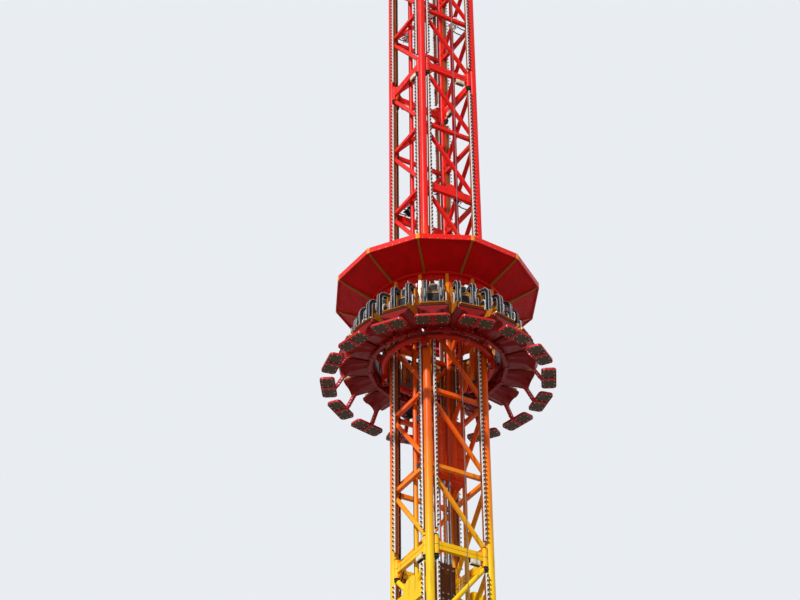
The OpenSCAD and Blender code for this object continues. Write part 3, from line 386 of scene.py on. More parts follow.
def finishPiece(body, name, shape, finish, slot, smoothDegrees=38):
    mesh = bpy.data.meshes.new(name)
    mesh.from_pydata(shape["points"], [], shape["faces"])
    work = bmesh.new()
    work.from_mesh(mesh)
    bmesh.ops.recalc_face_normals(work, faces=work.faces)
    work.to_mesh(mesh)
    work.free()
    mesh.polygons.foreach_set("use_smooth", [True] * len(mesh.polygons))
    mesh.set_sharp_from_angle(angle=math.radians(smoothDegrees))
    mesh.materials.append(finishes[finish])
    piece = bpy.data.objects.new(name, mesh)
    bpy.context.scene.collection.objects.link(piece)
    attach(piece, body)
    return piece


def finishPieces(body, *rows):
    # each row has a name, its shape, a finish, a CAD slot and, where it isn't the usual one, the smoothing angle
    for row in rows:
        finishPiece(body, *row)


def turnZ(degrees):
    return Matrix.Rotation(math.radians(degrees), 4, "Z")


def at(base, x, y, z, direction=None):
    # a place on a turned base; with a direction, its own +Z looks that way
    place = base @ Matrix.Translation((x, y, z))
    return place @ Vector(direction).to_track_quat("Z", "Y").to_matrix().to_4x4() if direction else place


still = Matrix()


def spread(count, pitch):
    # evenly spaced places on both sides of zero
    return [(n - (count - 1) / 2) * pitch for n in range(count)]


def roundedOutline(width, height, radius, steps=5):
    points, x, y = [], width / 2 - radius, height / 2 - radius
    for cx, cy, start in ((x, y, 0), (-x, y, 90), (-x, -y, 180), (x, -y, 270)):
        for i in range(steps + 1):
            a = math.radians(start + 90 * i / steps)
            points.append((cx + radius * math.cos(a), cy + radius * math.sin(a)))
    return points


def addBolt(shape, place, across=0.03, height=0.014, washer=0.004):
    # a hexagon head with its chamfer, on a round washer, standing on the local plane
    addTurned(shape, disc(across * 0.85, 0, washer), place, 12)
    r = across / 2 / math.cos(math.pi / 6)
    addTurned(shape, disc(r, washer, washer + height, end=(r * 0.18, height * 0.15)), place, 6)


def addBoltCircle(shape, place, count, radius, lift, bolt):
    for n in range(count):
        a = 2 * math.pi * n / count
        addBolt(shape, at(place, radius * math.cos(a), radius * math.sin(a), lift), *bolt)


# the mast's light strips: a lamp in a white collar every few centimetres, on a plate web with clips

mast = {"half": 0.65, "bay": 1.702, "foot": 0.28, "levels": 22, "joints": (4, 11, 18)}
strips = {
    "x": 0.522, "front": 0.732, "pitch": 0.096, "endGap": 0.341, "footGap": 0.06, "headGap": 0.02,
    "collar": ((0.024, 0), (0.024, 0.0096), (0.0228, 0.012), (0.020425, 0.012)),
    "dome": ((0.0215, 0.01176), (0.01978, 0.0273), (0.0129, 0.0409), (0, 0.046)),
    "webHalf": 0.006, "webNear": 0.69, "webFar": 0.622, "clipIn": 0.045, "clipNear": 0.704, "clipFar": 0.689,
    "clipHalfWide": 0.0275, "clipHalfHigh": 0.0425, "clipBoltUp": 0.024, "clipBolt": (0.02, 0.009, 0.002),
}


def levelZ(i):
    return mast["foot"] + i * mast["bay"]


def stripRuns():
    # the strips stop short of the mast's joints
    stops = (0,) + mast["joints"] + (mast["levels"],)
    for low, high in zip(stops, stops[1:]):
        yield (levelZ(low) + strips["endGap" if low else "footGap"],
               levelZ(high) - strips["headGap" if high == mast["levels"] else "endGap"])


def makeStrips():
    webs, clips = newShapes(2)
    wide, high = strips["clipHalfWide"], strips["clipHalfHigh"]
    for k in range(4):
        turn = turnZ(90 * k)
        collars, domes = newShapes(2)
        for side in (-1, 1):
            x = side * strips["x"]
            for start, end in stripRuns():
                # the webs fill the shaded gap behind the lamps, and their brown finish is painted shade
                addBlock(webs, (x - strips["webHalf"], -strips["webNear"], start),
                         (x + strips["webHalf"], -strips["webFar"], end), turn, 0.002)
                count = int((end - start) / strips["pitch"])
                for i in range(count):
                    place = at(turn, x, -strips["front"], start + (end - start) * (i + 0.5) / count, (0, -1, 0))
                    addTurned(collars, strips["collar"], place, 10)
                    addTurned(domes, strips["dome"], place, 8)
            x = side * (strips["x"] - strips["clipIn"])
            for i in sorted(set(range(1, mast["levels"])) - set(mast["joints"])):
                z = levelZ(i)
                clip = (x - wide, -strips["clipNear"], z - high), (x + wide, -strips["clipFar"], z + high)
                addBlock(clips, *clip, turn, 0.002)
                for dz in (-strips["clipBoltUp"], strips["clipBoltUp"]):
                    addBolt(clips, at(turn, x, -strips["clipNear"], z + dz, (0, -1, 0)), *strips["clipBolt"])
        finishPieces("tower", ("stripCollars%d" % (k + 1), collars, "whiteCollar", "light_channel"),
                     ("stripDomes%d" % (k + 1), domes, "amberDome", "lamp_shade"))
    finishPieces("tower", ("stripWebs", webs, "webShadedOrange", "rail_steel"),
                 ("stripClips", clips, "webShadedOrange", "rail_steel"))


makeStrips()
print("light strips made")


# bolt sleeves at the mast's three joints: studs, nuts, washers and seams, and a gusset beside each leg

sleeves = {
    "inward": 0.127, "outward": 0.018, "height": 0.382, "radius": 0.05, "nutRadius": 0.044 / math.cos(math.pi / 6),
    "seamDeep": 0.004, "seam": (0.0012, 0.004), "endSeam": (0.0008, 0.0015), "endSeamIn": 0.03,
    "stud": disc(0.027, -0.1, -0.01, (0.003, 0.006)), "nut": (-0.074, -0.012), "nutChamfers": (0.15, 0.1, 0.008),
    "washer": disc(0.058, -0.012, 0, (0.002, 0.006), (0.002, 0.006)),
    "capWasher": disc(0.056, 0, 0.01, (0.002, 0.005), (0.002, 0.005)),
    "capNut": disc(0.036, 0.01, 0.038, end=(0.006, 0.006)),
    "gusset": ((0.0, 0.0), (0.2, 0.0), (0.2, 0.02), (0.05, 0.16), (0.0, 0.16)), "gussetThick": 0.014,
    "gussetX": 0.575, "gussetY": 0.643, "gussetUp": 0.086,
}


def makeSleeves():
    nuts, seams, gussets = newShapes(3)
    s, end, r, hexagon = sleeves, sleeves["height"] / 2, sleeves["radius"], sleeves["nutRadius"]
    near, out = s["inward"] - mast["half"], -s["outward"] - mast["half"]
    first, last, along = s["nutChamfers"]
    nut = disc(hexagon, *s["nut"], (hexagon * first, along), (hexagon * last, along))
    fastenings = ((s["stud"], -end, 14), (nut, -end, 6), (s["washer"], -end, 20),
                  (s["capWasher"], end, 20), (s["capNut"], end, 6))
    seam, endSeam = (disc(r + high, -half, half, bore=r - s["seamDeep"]) for high, half in (s["seam"], s["endSeam"]))
    for k in range(4):
        turn = turnZ(90 * k)
        for j in mast["joints"]:
            for x, y in ((near, out), (out, near)):
                place = at(turn, x, y, levelZ(j))
                for profile, z, sides in fastenings:
                    addTurned(nuts, profile, at(place, 0, 0, z), sides)
                for profile, z in ((seam, 0), (endSeam, s["endSeamIn"] - end), (endSeam, end - s["endSeamIn"])):
                    addTurned(seams, profile, at(place, 0, 0, z), 28)
            for side in (-1, 1):
                for up in (-1, 1):
                    flip = Matrix(((-side, 0, 0, 0), (0, 0, -1, 0), (0, up, 0, 0), (0, 0, 0, 1)))
                    place = at(turn, side * s["gussetX"], -s["gussetY"], levelZ(j) + up * s["gussetUp"])
                    addPlate(gussets, s["gusset"], s["gussetThick"], place @ flip, 0.0015)
    finishPieces("tower", ("sleeveNuts", nuts, "blackNut", "sheave_steel", 30),
                 ("sleeveSeams", seams, "blackNut", "sheave_steel"),
                 ("jointGussets", gussets, "gussetPaint", "mast_paint"))


makeSleeves()
print("joint sleeves dressed")


# cables clipped inside the mast's corners, with a short loop over each joint, and two thin ones on the left face

cables = {
    "corner": 0.575, "spacing": (0.022, 0.005), "radius": 0.007, "count": 2, "loopHalf": 0.3, "loopReach": 0.05,
    "leastBow": 0.006, "bowStep": 0.004, "footGap": 0.02, "headGap": 0.05, "steps": 4,
    "tieUp": (0.5, 1.2), "tieHigh": 0.018, "tieHalf": 0.016, "tieReach": 0.045,
    "pinRadius": 0.005, "pin": ((-0.595, -0.585), (-0.6, -0.6)), "pinUp": 0.011,
    "thinRadius": 0.0055, "thinAt": ((-0.6, 0.0), (-0.6, -0.26)), "thinTie": (0.012, 0.014, 0.02),
}


def cablePath(n):
    x, y = (n * spacing - cables["corner"] for spacing in cables["spacing"])
    path = [(x, y, levelZ(0) + cables["footGap"])]
    for i in range(mast["levels"]):
        z = levelZ(i)
        slack = cables["leastBow"] + cables["bowStep"] * ((i * 7 + n * 3) % 3)
        bow = cables["loopReach"] if i in mast["joints"] else slack
        if i:
            path += [(x, y, z - cables["loopHalf"]), (x + bow * 0.7, y + bow, z)]
        path.append((x, y, z + cables["loopHalf"]))
    path.append((x, y, levelZ(mast["levels"]) - cables["headGap"]))
    smooth = [Vector(path[0])]
    for p, q in zip(path, path[1:]):
        for s in range(1, cables["steps"] + 1):
            t = s / cables["steps"]
            e = t * t * (3 - 2 * t)
            smooth.append(Vector((p[0] + (q[0] - p[0]) * e, p[1] + (q[1] - p[1]) * e, p[2] + (q[2] - p[2]) * t)))
    return smooth


def makeCables():
    runs, ties = newShapes(2)
    c, half, reach = -cables["corner"], cables["tieHalf"], cables["tieReach"]
    for k in (0, 3):
        turn = turnZ(90 * k)
        for n in range(cables["count"]):
            addTube(runs, cablePath(n), cables["radius"], 8, turn)
        for i in range(mast["levels"]):
            for z in (levelZ(i) + up for up in cables["tieUp"]):
                addBlock(ties, (c - half, c - half, z), (c + reach, c + half, z + cables["tieHigh"]), turn)
                pin = [(x, y, z + cables["pinUp"]) for x, y in cables["pin"]]
                addTube(ties, pin, cables["pinRadius"], 8, turn)
    dx, dy, dz = cables["thinTie"]
    for x, y in cables["thinAt"]:
        addTube(runs, [(x, y, levelZ(0)), (x, y, levelZ(mast["levels"]) - cables["headGap"])], cables["thinRadius"], 6)
        for z in (levelZ(i) for i in range(1, mast["levels"])):
            addBlock(ties, (x - dx, y - dy, z - dz), (x + dx, y + dy, z + dz))
    finishPieces("tower", ("cableRuns", runs, "cableSkin", "roller_black"),
                 ("cableTies", ties, "greyPlastic", "sheave_steel"))


makeCables()
print("cables made")


# flood lamps under the joint bars: bezel, glass, fins, bracket

floods = {
    "levels": (11, 18, 22), "near": 0.205, "far": 0.415, "drop": 0.08, "jointDrop": 0.005, "middle": 0.055,
    "out": 0.035, "bezel": roundedOutline(0.2, 0.1, 0.028), "bezelThick": 0.008,
    "glass": roundedOutline(0.172, 0.074, 0.02), "glassThick": 0.006, "glassOut": 0.007,
    "boltX": 0.088, "boltY": 0.038, "bolt": (0.009, 0.004, 0.0015),
    "fins": 9, "finStart": 0.02, "finPitch": 0.021, "finThick": 0.006, "finHalf": 0.03, "finLow": 0.124,
    "finHigh": 0.106, "armGap": 0.001, "armThick": 0.008, "armHalf": 0.02, "armLow": 0.075, "armHigh": 0.004,
    "armBolt": (0.02, 0.008, 0.003),
}


def makeFloods():
    frames, glass, brackets = newShapes(3)
    f, y = floods, -mast["half"]
    for k in range(4):
        turn = turnZ(90 * k)
        for j in f["levels"]:
            top = levelZ(j) - f["drop"] - (f["jointDrop"] if j in mast["joints"] else 0)
            for side in (-1, 1):
                place = at(turn, (f["near"] + f["far"]) / 2, y + side * f["out"], top - f["middle"], (0, side, 0))
                addPlate(frames, f["bezel"], f["bezelThick"], place, 0.002)
                addPlate(glass, f["glass"], f["glassThick"], at(place, 0, 0, f["glassOut"]), 0.0025)
                for dx in (-f["boltX"], f["boltX"]):
                    for dy in (-f["boltY"], f["boltY"]):
                        addBolt(frames, at(place, dx, dy, f["glassOut"]), *f["bolt"])
            for n in range(f["fins"]):
                x = f["near"] + f["finStart"] + n * f["finPitch"]
                addBlock(brackets, (x, y - f["finHalf"], top - f["finLow"]),
                         (x + f["finThick"], y + f["finHalf"], top - f["finHigh"]), turn, 0.0015)
            left, right = f["near"] - f["armGap"] - f["armThick"], f["far"] + f["armGap"]
            for x, end, direction in ((left, 0, -1), (right, f["armThick"], 1)):
                addBlock(brackets, (x, y - f["armHalf"], top - f["armLow"]),
                         (x + f["armThick"], y + f["armHalf"], top + f["armHigh"]), turn, 0.002)
                addBolt(brackets, at(turn, x + end, y, top - f["middle"], (direction, 0, 0)), *f["armBolt"])
    finishPieces("tower", ("floodBezels", frames, "whitePlastic", "lamp_shade"),
                 ("floodGlass", glass, "lensGlass", "lamp_shade"),
                 ("floodBrackets", brackets, "blackNut", "sheave_steel"))


makeFloods()
print("flood lamps made")


# pairs of round spotlights inside the mast, on a yoke and an arm; those near the top are white

spots = {
    "levels": (9, 13, 15, 16, 19), "whiteFrom": 19, "radius": 0.075, "length": 0.17, "y": 0.43, "up": 0.17,
    "apart": 0.085, "pairs": ((0, -0.32, (0.25, -0.8, -0.55)), (1, -0.405, (-0.1, -0.77, -0.6)),
                               (3, -0.405, (0.1, -0.72, 0.6))),
    "rims": 5, "firstRim": 0.03, "rimPitch": 0.018, "yokeRadius": 0.007, "armRadius": 0.012,
    "yoke": [(x, 0.03, z) for x, z in ((-0.082, -0.04), (-0.082, -0.11), (-0.05, -0.125),
                                       (0.05, -0.125), (0.082, -0.11), (0.082, -0.04))],
    "arm": ((0, 0.03, -0.125), (0, -0.05, -0.15), (0, -0.17, -0.15)),
}


def spotProfile():
    # from the cable end over the cooling rims to the hood round the lens
    r, back = spots["radius"], -spots["length"]
    profile = [(0, back), (r * 0.45, back), (r * 0.55, back + 0.02)]
    for n in range(spots["rims"]):
        z = back + spots["firstRim"] + n * spots["rimPitch"]
        profile += [(r * 0.62, z), (r * 0.95, z + 0.002), (r * 0.95, z + 0.007), (r * 0.62, z + 0.009)]
    return profile + [(r * 0.9, -0.03), (r, -0.02), (r, 0.0), (r * 0.86, 0.0), (r * 0.84, -0.014), (0, -0.014)]


def makeSpots():
    blackBodies, whiteBodies, lenses, yokes = newShapes(4)
    r, profile = spots["radius"], spotProfile()
    for i in spots["levels"]:
        for k, x, lean in spots["pairs"]:
            for dx in (-spots["apart"], spots["apart"]):
                centre = x + dx, -spots["y"], levelZ(i) + spots["up"]
                place, base = at(turnZ(90 * k), *centre, lean), at(turnZ(90 * k), *centre)
                addTurned(whiteBodies if i >= spots["whiteFrom"] else blackBodies, profile, place, 20)
                addTurned(lenses, [(r * 0.83, -0.012), (r * 0.6, -0.007), (0, -0.004)], place, 20)
                addTube(yokes, spots["yoke"], spots["yokeRadius"], 8, base)
                addTube(yokes, spots["arm"], spots["armRadius"], 8, base)
    finishPieces("tower", ("blackSpots", blackBodies, "blackPlastic", "roller_black", 30),
                 ("whiteSpots", whiteBodies, "whiteCollar", "light_channel", 30),
                 ("spotLenses", lenses, "lensGlass", "lamp_shade"), ("spotYokes", yokes, "blackNut", "sheave_steel"))


makeSpots()
print("spotlights made")


# counterweight: stacked plates, flange bolts and straps

weight = {
    "bottom": 20.83, "height": 1.4, "ends": 0.065, "plates": 15, "seam": 0.003, "plateX": (0.064, 0.263),
    "plateY": (0.175, 0.209), "rowX": (0.3, 0.36, 0.45), "rowZ": (0.07, 0.3, 0.55, 0.85, 1.1, 1.33), "rowY": 0.13,
    "rowBolt": (0.034, 0.016, 0.004), "strapX": 0.16, "strapY": 0.209, "strapHalf": (0.03, 0.006), "strapEnd": 0.05,
    "strapBolt": (0.03, 0.014, 0.004),
}


def makeWeight():
    plates, bolts = newShapes(2)
    w, bottom = weight, weight["bottom"]
    low, high = bottom + w["ends"], bottom + w["height"] - w["ends"]
    step = (high - low) / w["plates"]
    for n in range(w["plates"]):
        z0, z1 = low + n * step + w["seam"], low + (n + 1) * step - w["seam"]
        for side in (-1, 1):
            for half in (-1, 1):
                x0, x1 = sorted(half * x for x in w["plateX"])
                y0, y1 = sorted(side * y for y in w["plateY"])
                addBlock(plates, (x0, y0, z0), (x1, y1, z1))
    for side in (-1, 1):
        for x in w["rowX"]:
            for z in w["rowZ"]:
                for half in (-1, 1):
                    addBolt(bolts, at(still, half * x, side * w["rowY"], bottom + z, (0, side, 0)), *w["rowBolt"])
        for x in (-w["strapX"], w["strapX"]):
            wide, thick = w["strapHalf"]
            place = at(still, x, side * w["strapY"], 0)
            addBlock(bolts, (-wide, -thick, low), (wide, thick, high), place, 0.002)
            for z in (low + w["strapEnd"], (low + high) / 2, high - w["strapEnd"]):
                addBolt(bolts, at(place, 0, side * thick, z, (0, side, 0)), *w["strapBolt"])
    finishPieces("counterweight", ("weightPlates", plates, "weight_red", "weight_red"),
                 ("weightBolts", bolts, "weight_orange", "weight_orange", 30))


makeWeight()
print("counterweight dressed")


# hoist block: sleeves on its six rods, nuts at both of their ends, cover plates and bearing caps

block = {
    "top": 18.95, "height": 1.2, "rodX": (-0.09, 0.03, 0.15), "rodY": 0.08, "rodRadius": 0.0145,
    "order": ("galvanised", "whiteRod", "orangeRod", "redRod", "galvanised", "whiteRod"),
    "socket": ((0.0265, 0.08), (0.033, 0.09), (0.034, 0.15), (0.028, 0.19), (0.02, 0.235), (0.0145, 0.235)),
    "sleeveRadius": 0.018, "sleeveLow": 0.235, "sleeveHigh": 0.12, "sleeveEnd": 0.01,
    "nut": ((0.0145, -0.1), (0.03, -0.1), (0.033, -0.09), (0.033, -0.01), (0.0145, -0.002)),
    "centreX": 0.02, "coverY": 0.16, "coverWide": 0.27, "coverRound": 0.025, "coverThick": 0.01,
    "covers": ((0.06, 0.52), (0.58, 1.14)), "coverBoltX": 0.115, "coverBoltIn": 0.03,
    "coverBolt": (0.024, 0.012, 0.003),
    "cap": ((0, 0), (0.11, 0), (0.11, 0.012), (0.085, 0.02), (0.05, 0.02), (0.045, 0.034), (0, 0.034)),
    "capX": ((-0.15, -1), (0.19, 1)), "capUp": 0.8, "capBolts": 8, "capBoltRadius": 0.095, "capBoltUp": 0.011,
    "capBolt": (0.02, 0.01, 0.002),
}


def makeBlock():
    b, top, bottom = block, block["top"], weight["bottom"]
    rods = dict(zip(("whiteRod", "redRod", "orangeRod", "galvanised"), newShapes(4)))
    start, end, taper = top + b["sleeveLow"], bottom - b["sleeveHigh"], b["sleeveEnd"]
    sleeve = [(b["rodRadius"], start), (b["sleeveRadius"], start + taper),
              (b["sleeveRadius"], end - taper), (b["rodRadius"], end)]
    corners = [(x, y) for x in b["rodX"] for y in (-b["rodY"], b["rodY"])]
    for finish, (x, y) in zip(b["order"], corners):
        addTurned(rods[finish], sleeve, at(still, x, y, 0), 14)
        addTurned(rods["galvanised"], b["socket"], at(still, x, y, top), 18)
        addTurned(rods["galvanised"], b["nut"], at(still, x, y, bottom), 6)
    for finish, shape in rods.items():
        finishPiece("counterweight", "blockRods" + finish[0].upper() + finish[1:], shape, finish, "sheave_steel")
    cover, studs = newShapes(2)
    low = top - b["height"]
    for side in (-1, 1):
        for z0, z1 in b["covers"]:
            place = at(still, b["centreX"], side * b["coverY"], low + (z0 + z1) / 2, (0, side, 0))
            addPlate(cover, roundedOutline(b["coverWide"], z1 - z0, b["coverRound"]), b["coverThick"], place, 0.002)
            for dx in (-b["coverBoltX"], 0, b["coverBoltX"]):
                for dz in (-1, 1):
                    reach = dz * ((z1 - z0) / 2 - b["coverBoltIn"])
                    addBolt(studs, at(place, dx, reach, b["coverThick"]), *b["coverBolt"])
    for x, direction in b["capX"]:
        place = at(still, x, 0, low + b["capUp"], (direction, 0, 0))
        addTurned(cover, b["cap"], place, 28)
        addBoltCircle(studs, place, b["capBolts"], b["capBoltRadius"], b["capBoltUp"], b["capBolt"])
    # the covers and caps take the block's brown, which is painted shade over orange-yellow paint
    finishPieces("counterweight", ("blockCovers", cover, "block_brown", "block_brown"),
                 ("blockStuds", studs, "zinc", "sheave_steel", 30))


makeBlock()
print("hoist block dressed")


# carriage: bolted flanges and air hoses on the ring tubes, axle nuts, bolts under the slewing ring and on the posts

carriage = {
    "ringZ": 23.5, "ringRadius": 1.078, "ringTube": 0.0675, "upperZ": 25.31, "upperTube": 0.055,
    "flangeUp": 0.018, "flangeStarts": (-0.016, 0.002), "flangeThick": 0.014, "flangeBevel": (0.002, 0.002),
    "flangeSunk": 0.002, "flangeBolts": 10, "flangeBoltUp": 0.009, "flangeBolt": 0.008,
    "flangeBoltEnds": ((-0.028, -0.016), (0.016, 0.028)),
    "rollerRadius": 1.0592, "rollerOff": 0.17, "cheek": 0.052,
    "axleWasher": ((0.0142, 0), (0.03, 0), (0.032, 0.003), (0.0142, 0.004)),
    "axleNut": disc(0.025, 0.004, 0.024, end=(0.004, 0.004)),
    "raceZ": 23.63, "raceBoltRadius": 1.22, "raceBolts": 48, "raceBolt": (0.022, 0.012, 0.003), "posts": 8,
    "firstPost": 22.5, "postClear": 4,
    "hoses": 8, "hoseStart": 26, "hosePoints": 13, "hoseStep": 3.1, "hoseOut": 0.088, "hoseWave": 0.012,
    "hoseUp": 0.03, "hoseSag": 0.035, "hoseRadius": 0.009,
    "postBoltRadius": 1.19, "postBoltY": 0.035, "postBoltLow": 0.16, "postBoltHigh": 0.17,
    "postBolt": (0.028, 0.014, 0.003),
}


def hosePath(k):
    c, last = carriage, carriage["hosePoints"] - 1
    for n in range(c["hosePoints"]):
        a = math.radians(360 / c["hoses"] * k + c["hoseStart"] + n * c["hoseStep"])
        r = c["ringRadius"] + c["hoseOut"] + c["hoseWave"] * math.sin(n * 1.3 + k)
        yield r * math.cos(a), r * math.sin(a), c["ringZ"] + c["hoseUp"] - c["hoseSag"] * math.sin(math.pi * n / last)


def makeCarriage():
    flanges, bolts, hoses = newShapes(3)
    c = carriage
    for z, tube in ((c["ringZ"], c["ringTube"]), (c["upperZ"], c["upperTube"])):
        for k in range(4):
            place = at(turnZ(90 * k), c["ringRadius"], 0, z, (0, 1, 0))
            for start in c["flangeStarts"]:
                flange = start, start + c["flangeThick"], c["flangeBevel"], c["flangeBevel"], tube - c["flangeSunk"]
                addTurned(flanges, disc(tube + c["flangeUp"], *flange), place, 32)
            for n in range(c["flangeBolts"]):
                a, reach = 2 * math.pi * n / c["flangeBolts"], tube + c["flangeBoltUp"]
                for ends in c["flangeBoltEnds"]:
                    bolt = at(place, reach * math.cos(a), reach * math.sin(a), 0)
                    addTurned(bolts, disc(c["flangeBolt"], *ends), bolt, 6)
    for z in (c["ringZ"] - c["rollerOff"], c["upperZ"] + c["rollerOff"]):
        for k in range(4):
            for side in (-1, 1):
                place = at(turnZ(45 + 90 * k), c["rollerRadius"], side * c["cheek"], z, (0, side, 0))
                addTurned(bolts, c["axleWasher"], place, 18)
                addTurned(bolts, c["axleNut"], place, 6)
    posts = [c["firstPost"] + 360 / c["posts"] * m for m in range(c["posts"])]
    for n in range(c["raceBolts"]):
        angle = 360 / c["raceBolts"] * (n + 0.5)
        if min(abs((angle - post + 180) % 360 - 180) for post in posts) > c["postClear"]:
            addBolt(bolts, at(turnZ(angle), c["raceBoltRadius"], 0, c["raceZ"], (0, 0, -1)), *c["raceBolt"])
    for k in range(c["hoses"]):
        addTube(hoses, hosePath(k), c["hoseRadius"], 8)
    for angle in posts:
        for z in (c["raceZ"] + c["postBoltLow"], c["upperZ"] - c["postBoltHigh"]):
            for side in (-1, 1):
                place = at(turnZ(angle), c["postBoltRadius"], side * c["postBoltY"], z, (-1, 0, 0))
                addBolt(bolts, place, *c["postBolt"])
    finishPieces("carriage", ("ringFlanges", flanges, "carriage_red", "carriage_red"),
                 ("carriageBolts", bolts, "zinc", "sheave_steel", 30), ("airHoses", hoses, "cableSkin", "roller_black"))


makeCarriage()
print("carriage dressed")


# seats: crowned cushions blown up by a cloth run, with sewn channels and piping

seats = {
    "count": 16, "first": 11.25, "footZ": 23.1, "panZ": 23.6, "hingeRadius": 1.3, "hingeZ": 24.43, "skinGap": 0.001,
    "backRadius": 1.392, "dipRadius": 1.655, "dipDepth": 0.045, "dipBend": 0.72, "dipRise": 0.085,
    "cushionRadius": 1.69, "backMiddle": 24.0, "headMiddle": 24.39, "headOut": 0.06,
    "backLow": 23.69, "backThick": 0.112, "backTaper": 0.028, "backBend": 0.2, "backEnd": 0.34,
}
padMaking = {
    "pull": 0.035, "cornerPull": 0.06, "rimHeight": 0.35, "dome": 0.25, "under": 0.0005,
    "voxel": 0.0095, "pressure": 4.0, "frames": 20, "cap": 0.016, "held": 0.006,
    "channelDepth": 0.009, "channelWidth": 0.045, "leastHeight": 0.004, "pipingLift": 0.3, "pipingRadius": 0.006,
}


def seatTurn(k):
    return turnZ(seats["first"] + 360 / seats["count"] * k)


def panTop(radius):
    dx = radius - seats["dipRadius"]
    top = seats["panZ"] + seats["dipDepth"] + seats["dipBend"] - math.sqrt(seats["dipBend"] ** 2 - dx * dx)
    return min(top, seats["panZ"] + seats["dipRise"])


def addPad(shape, surface, outward, halfU, halfV, crown, steps):
    # a pad drawn over a surface: its rim lies on it, its sides pull in a little and its middle is crowned
    points, faces = [], []
    side = steps + 1
    for layer in (1, 0):
        for i in range(side):
            for j in range(side):
                u, v = 2 * i / steps - 1, 2 * j / steps - 1
                corner = 1 - padMaking["cornerPull"] * abs(u * v) ** 6
                pulledU = u * (1 - padMaking["pull"] * (1 - v * v)) * corner
                pulledV = v * (1 - padMaking["pull"] * (1 - u * u)) * corner
                edge = max(1 - abs(u) ** 5, 0) ** 0.5 * max(1 - abs(v) ** 5, 0) ** 0.5
                domed = edge * (1 - padMaking["dome"] * (u * u + v * v) / 2)
                height = crown * (padMaking["rimHeight"] + (1 - padMaking["rimHeight"]) * domed)
                lift = height if edge and layer else padMaking["under"]
                points.append(Vector(surface(pulledU * halfU, pulledV * halfV)) + outward * lift)
    under = side * side
    for layer in (0, 1):
        for i in range(steps):
            for j in range(steps):
                a = layer * under + i * side + j
                face = [a, a + 1, a + side + 1, a + side]
                faces.append(face if layer else face[::-1])
    border = [(i, 0) for i in range(steps)] + [(steps, j) for j in range(steps)]
    border += [(i, steps) for i in range(steps, 0, -1)] + [(0, j) for j in range(steps, 0, -1)]
    index = [i * side + j for i, j in border]
    for a, b in zip(index, index[1:] + index[:1]):
        faces.append([a, b, b + under, a + under])
    addFaces(shape, points, faces)
    return [points[i] for i in index + index[:1]]


def cushionSurface(u, v):
    radius = seats["cushionRadius"] + u
    return radius, v, panTop(radius) + seats["skinGap"]


def backSurface(u, v):
    # the front of the seat back leans back as it rises, first steeply and then less
    z = seats["backMiddle"] + u
    up = z - seats["backLow"]
    taper = min(up / seats["backBend"], 1) + min(max(up - seats["backBend"], 0) / seats["backEnd"], 1)
    return seats["backRadius"] + seats["backThick"] - seats["backTaper"] * taper + seats["skinGap"], v, z


def headSurface(u, v):
    return seats["backRadius"] + seats["headOut"], v, seats["headMiddle"] + u


def inflatePad(name, shape, heightOf):
    # the pad is remeshed and blown up by a cloth run while its underside is held on the shell
    scene = bpy.context.scene
    mesh = bpy.data.meshes.new(name + "Start")
    mesh.from_pydata(shape["points"], [], shape["faces"])
    pad = bpy.data.objects.new(name + "Start", mesh)
    scene.collection.objects.link(pad)
    remesh = pad.modifiers.new("remesh", "REMESH")
    remesh.mode = "VOXEL"
    remesh.voxel_size = padMaking["voxel"]
    pad.data = bpy.data.meshes.new_from_object(pad.evaluated_get(bpy.context.evaluated_depsgraph_get()))
    pad.modifiers.remove(remesh)
    start = [v.co.copy() for v in pad.data.vertices]
    held = pad.vertex_groups.new(name="held")
    held.add([i for i, p in enumerate(start) if heightOf(p) < padMaking["held"]], 1.0, "REPLACE")
    cloth = pad.modifiers.new("cloth", "CLOTH")
    cloth.settings.vertex_group_mass = "held"
    cloth.settings.use_pressure = True
    cloth.settings.uniform_pressure_force = padMaking["pressure"]
    cloth.settings.effector_weights.gravity = 0
    for step in range(1, padMaking["frames"] + 1):
        scene.frame_set(step)
    blown = pad.evaluated_get(bpy.context.evaluated_depsgraph_get()).data
    points = []
    for p, vertex in zip(start, blown.vertices):
        move = vertex.co - p
        if move.length > padMaking["cap"]:
            move *= padMaking["cap"] / move.length
        points.append(p + move)
    faces = [list(face.vertices) for face in pad.data.polygons]
    bpy.data.objects.remove(pad)
    scene.frame_set(1)
    return points, faces


# per pad: name, surface, outward, half length, half width, crown, steps, channels as shares of the half length,
# height of a point over the surface, and its distance from the middle
padKinds = (
    ("seatCushion", cushionSurface, Vector((0, 0, 1)), 0.212, 0.187, 0.03, 22, (-0.45, 0.0, 0.45),
     lambda p: p.z - panTop(p.x), lambda p: p.x - seats["cushionRadius"]),
    ("backCushion", backSurface, Vector((1, 0, 0.1)), 0.267, 0.162, 0.032, 22, (-0.6, -0.2, 0.2, 0.6),
     lambda p: p.x - backSurface(p.z - seats["backMiddle"], 0)[0], lambda p: p.z - seats["backMiddle"]),
    ("headCushion", headSurface, Vector((1, 0, 0.05)), 0.074, 0.083, 0.026, 14, (0.0,),
     lambda p: p.x - headSurface(0, 0)[0], lambda p: p.z - seats["headMiddle"]),
)


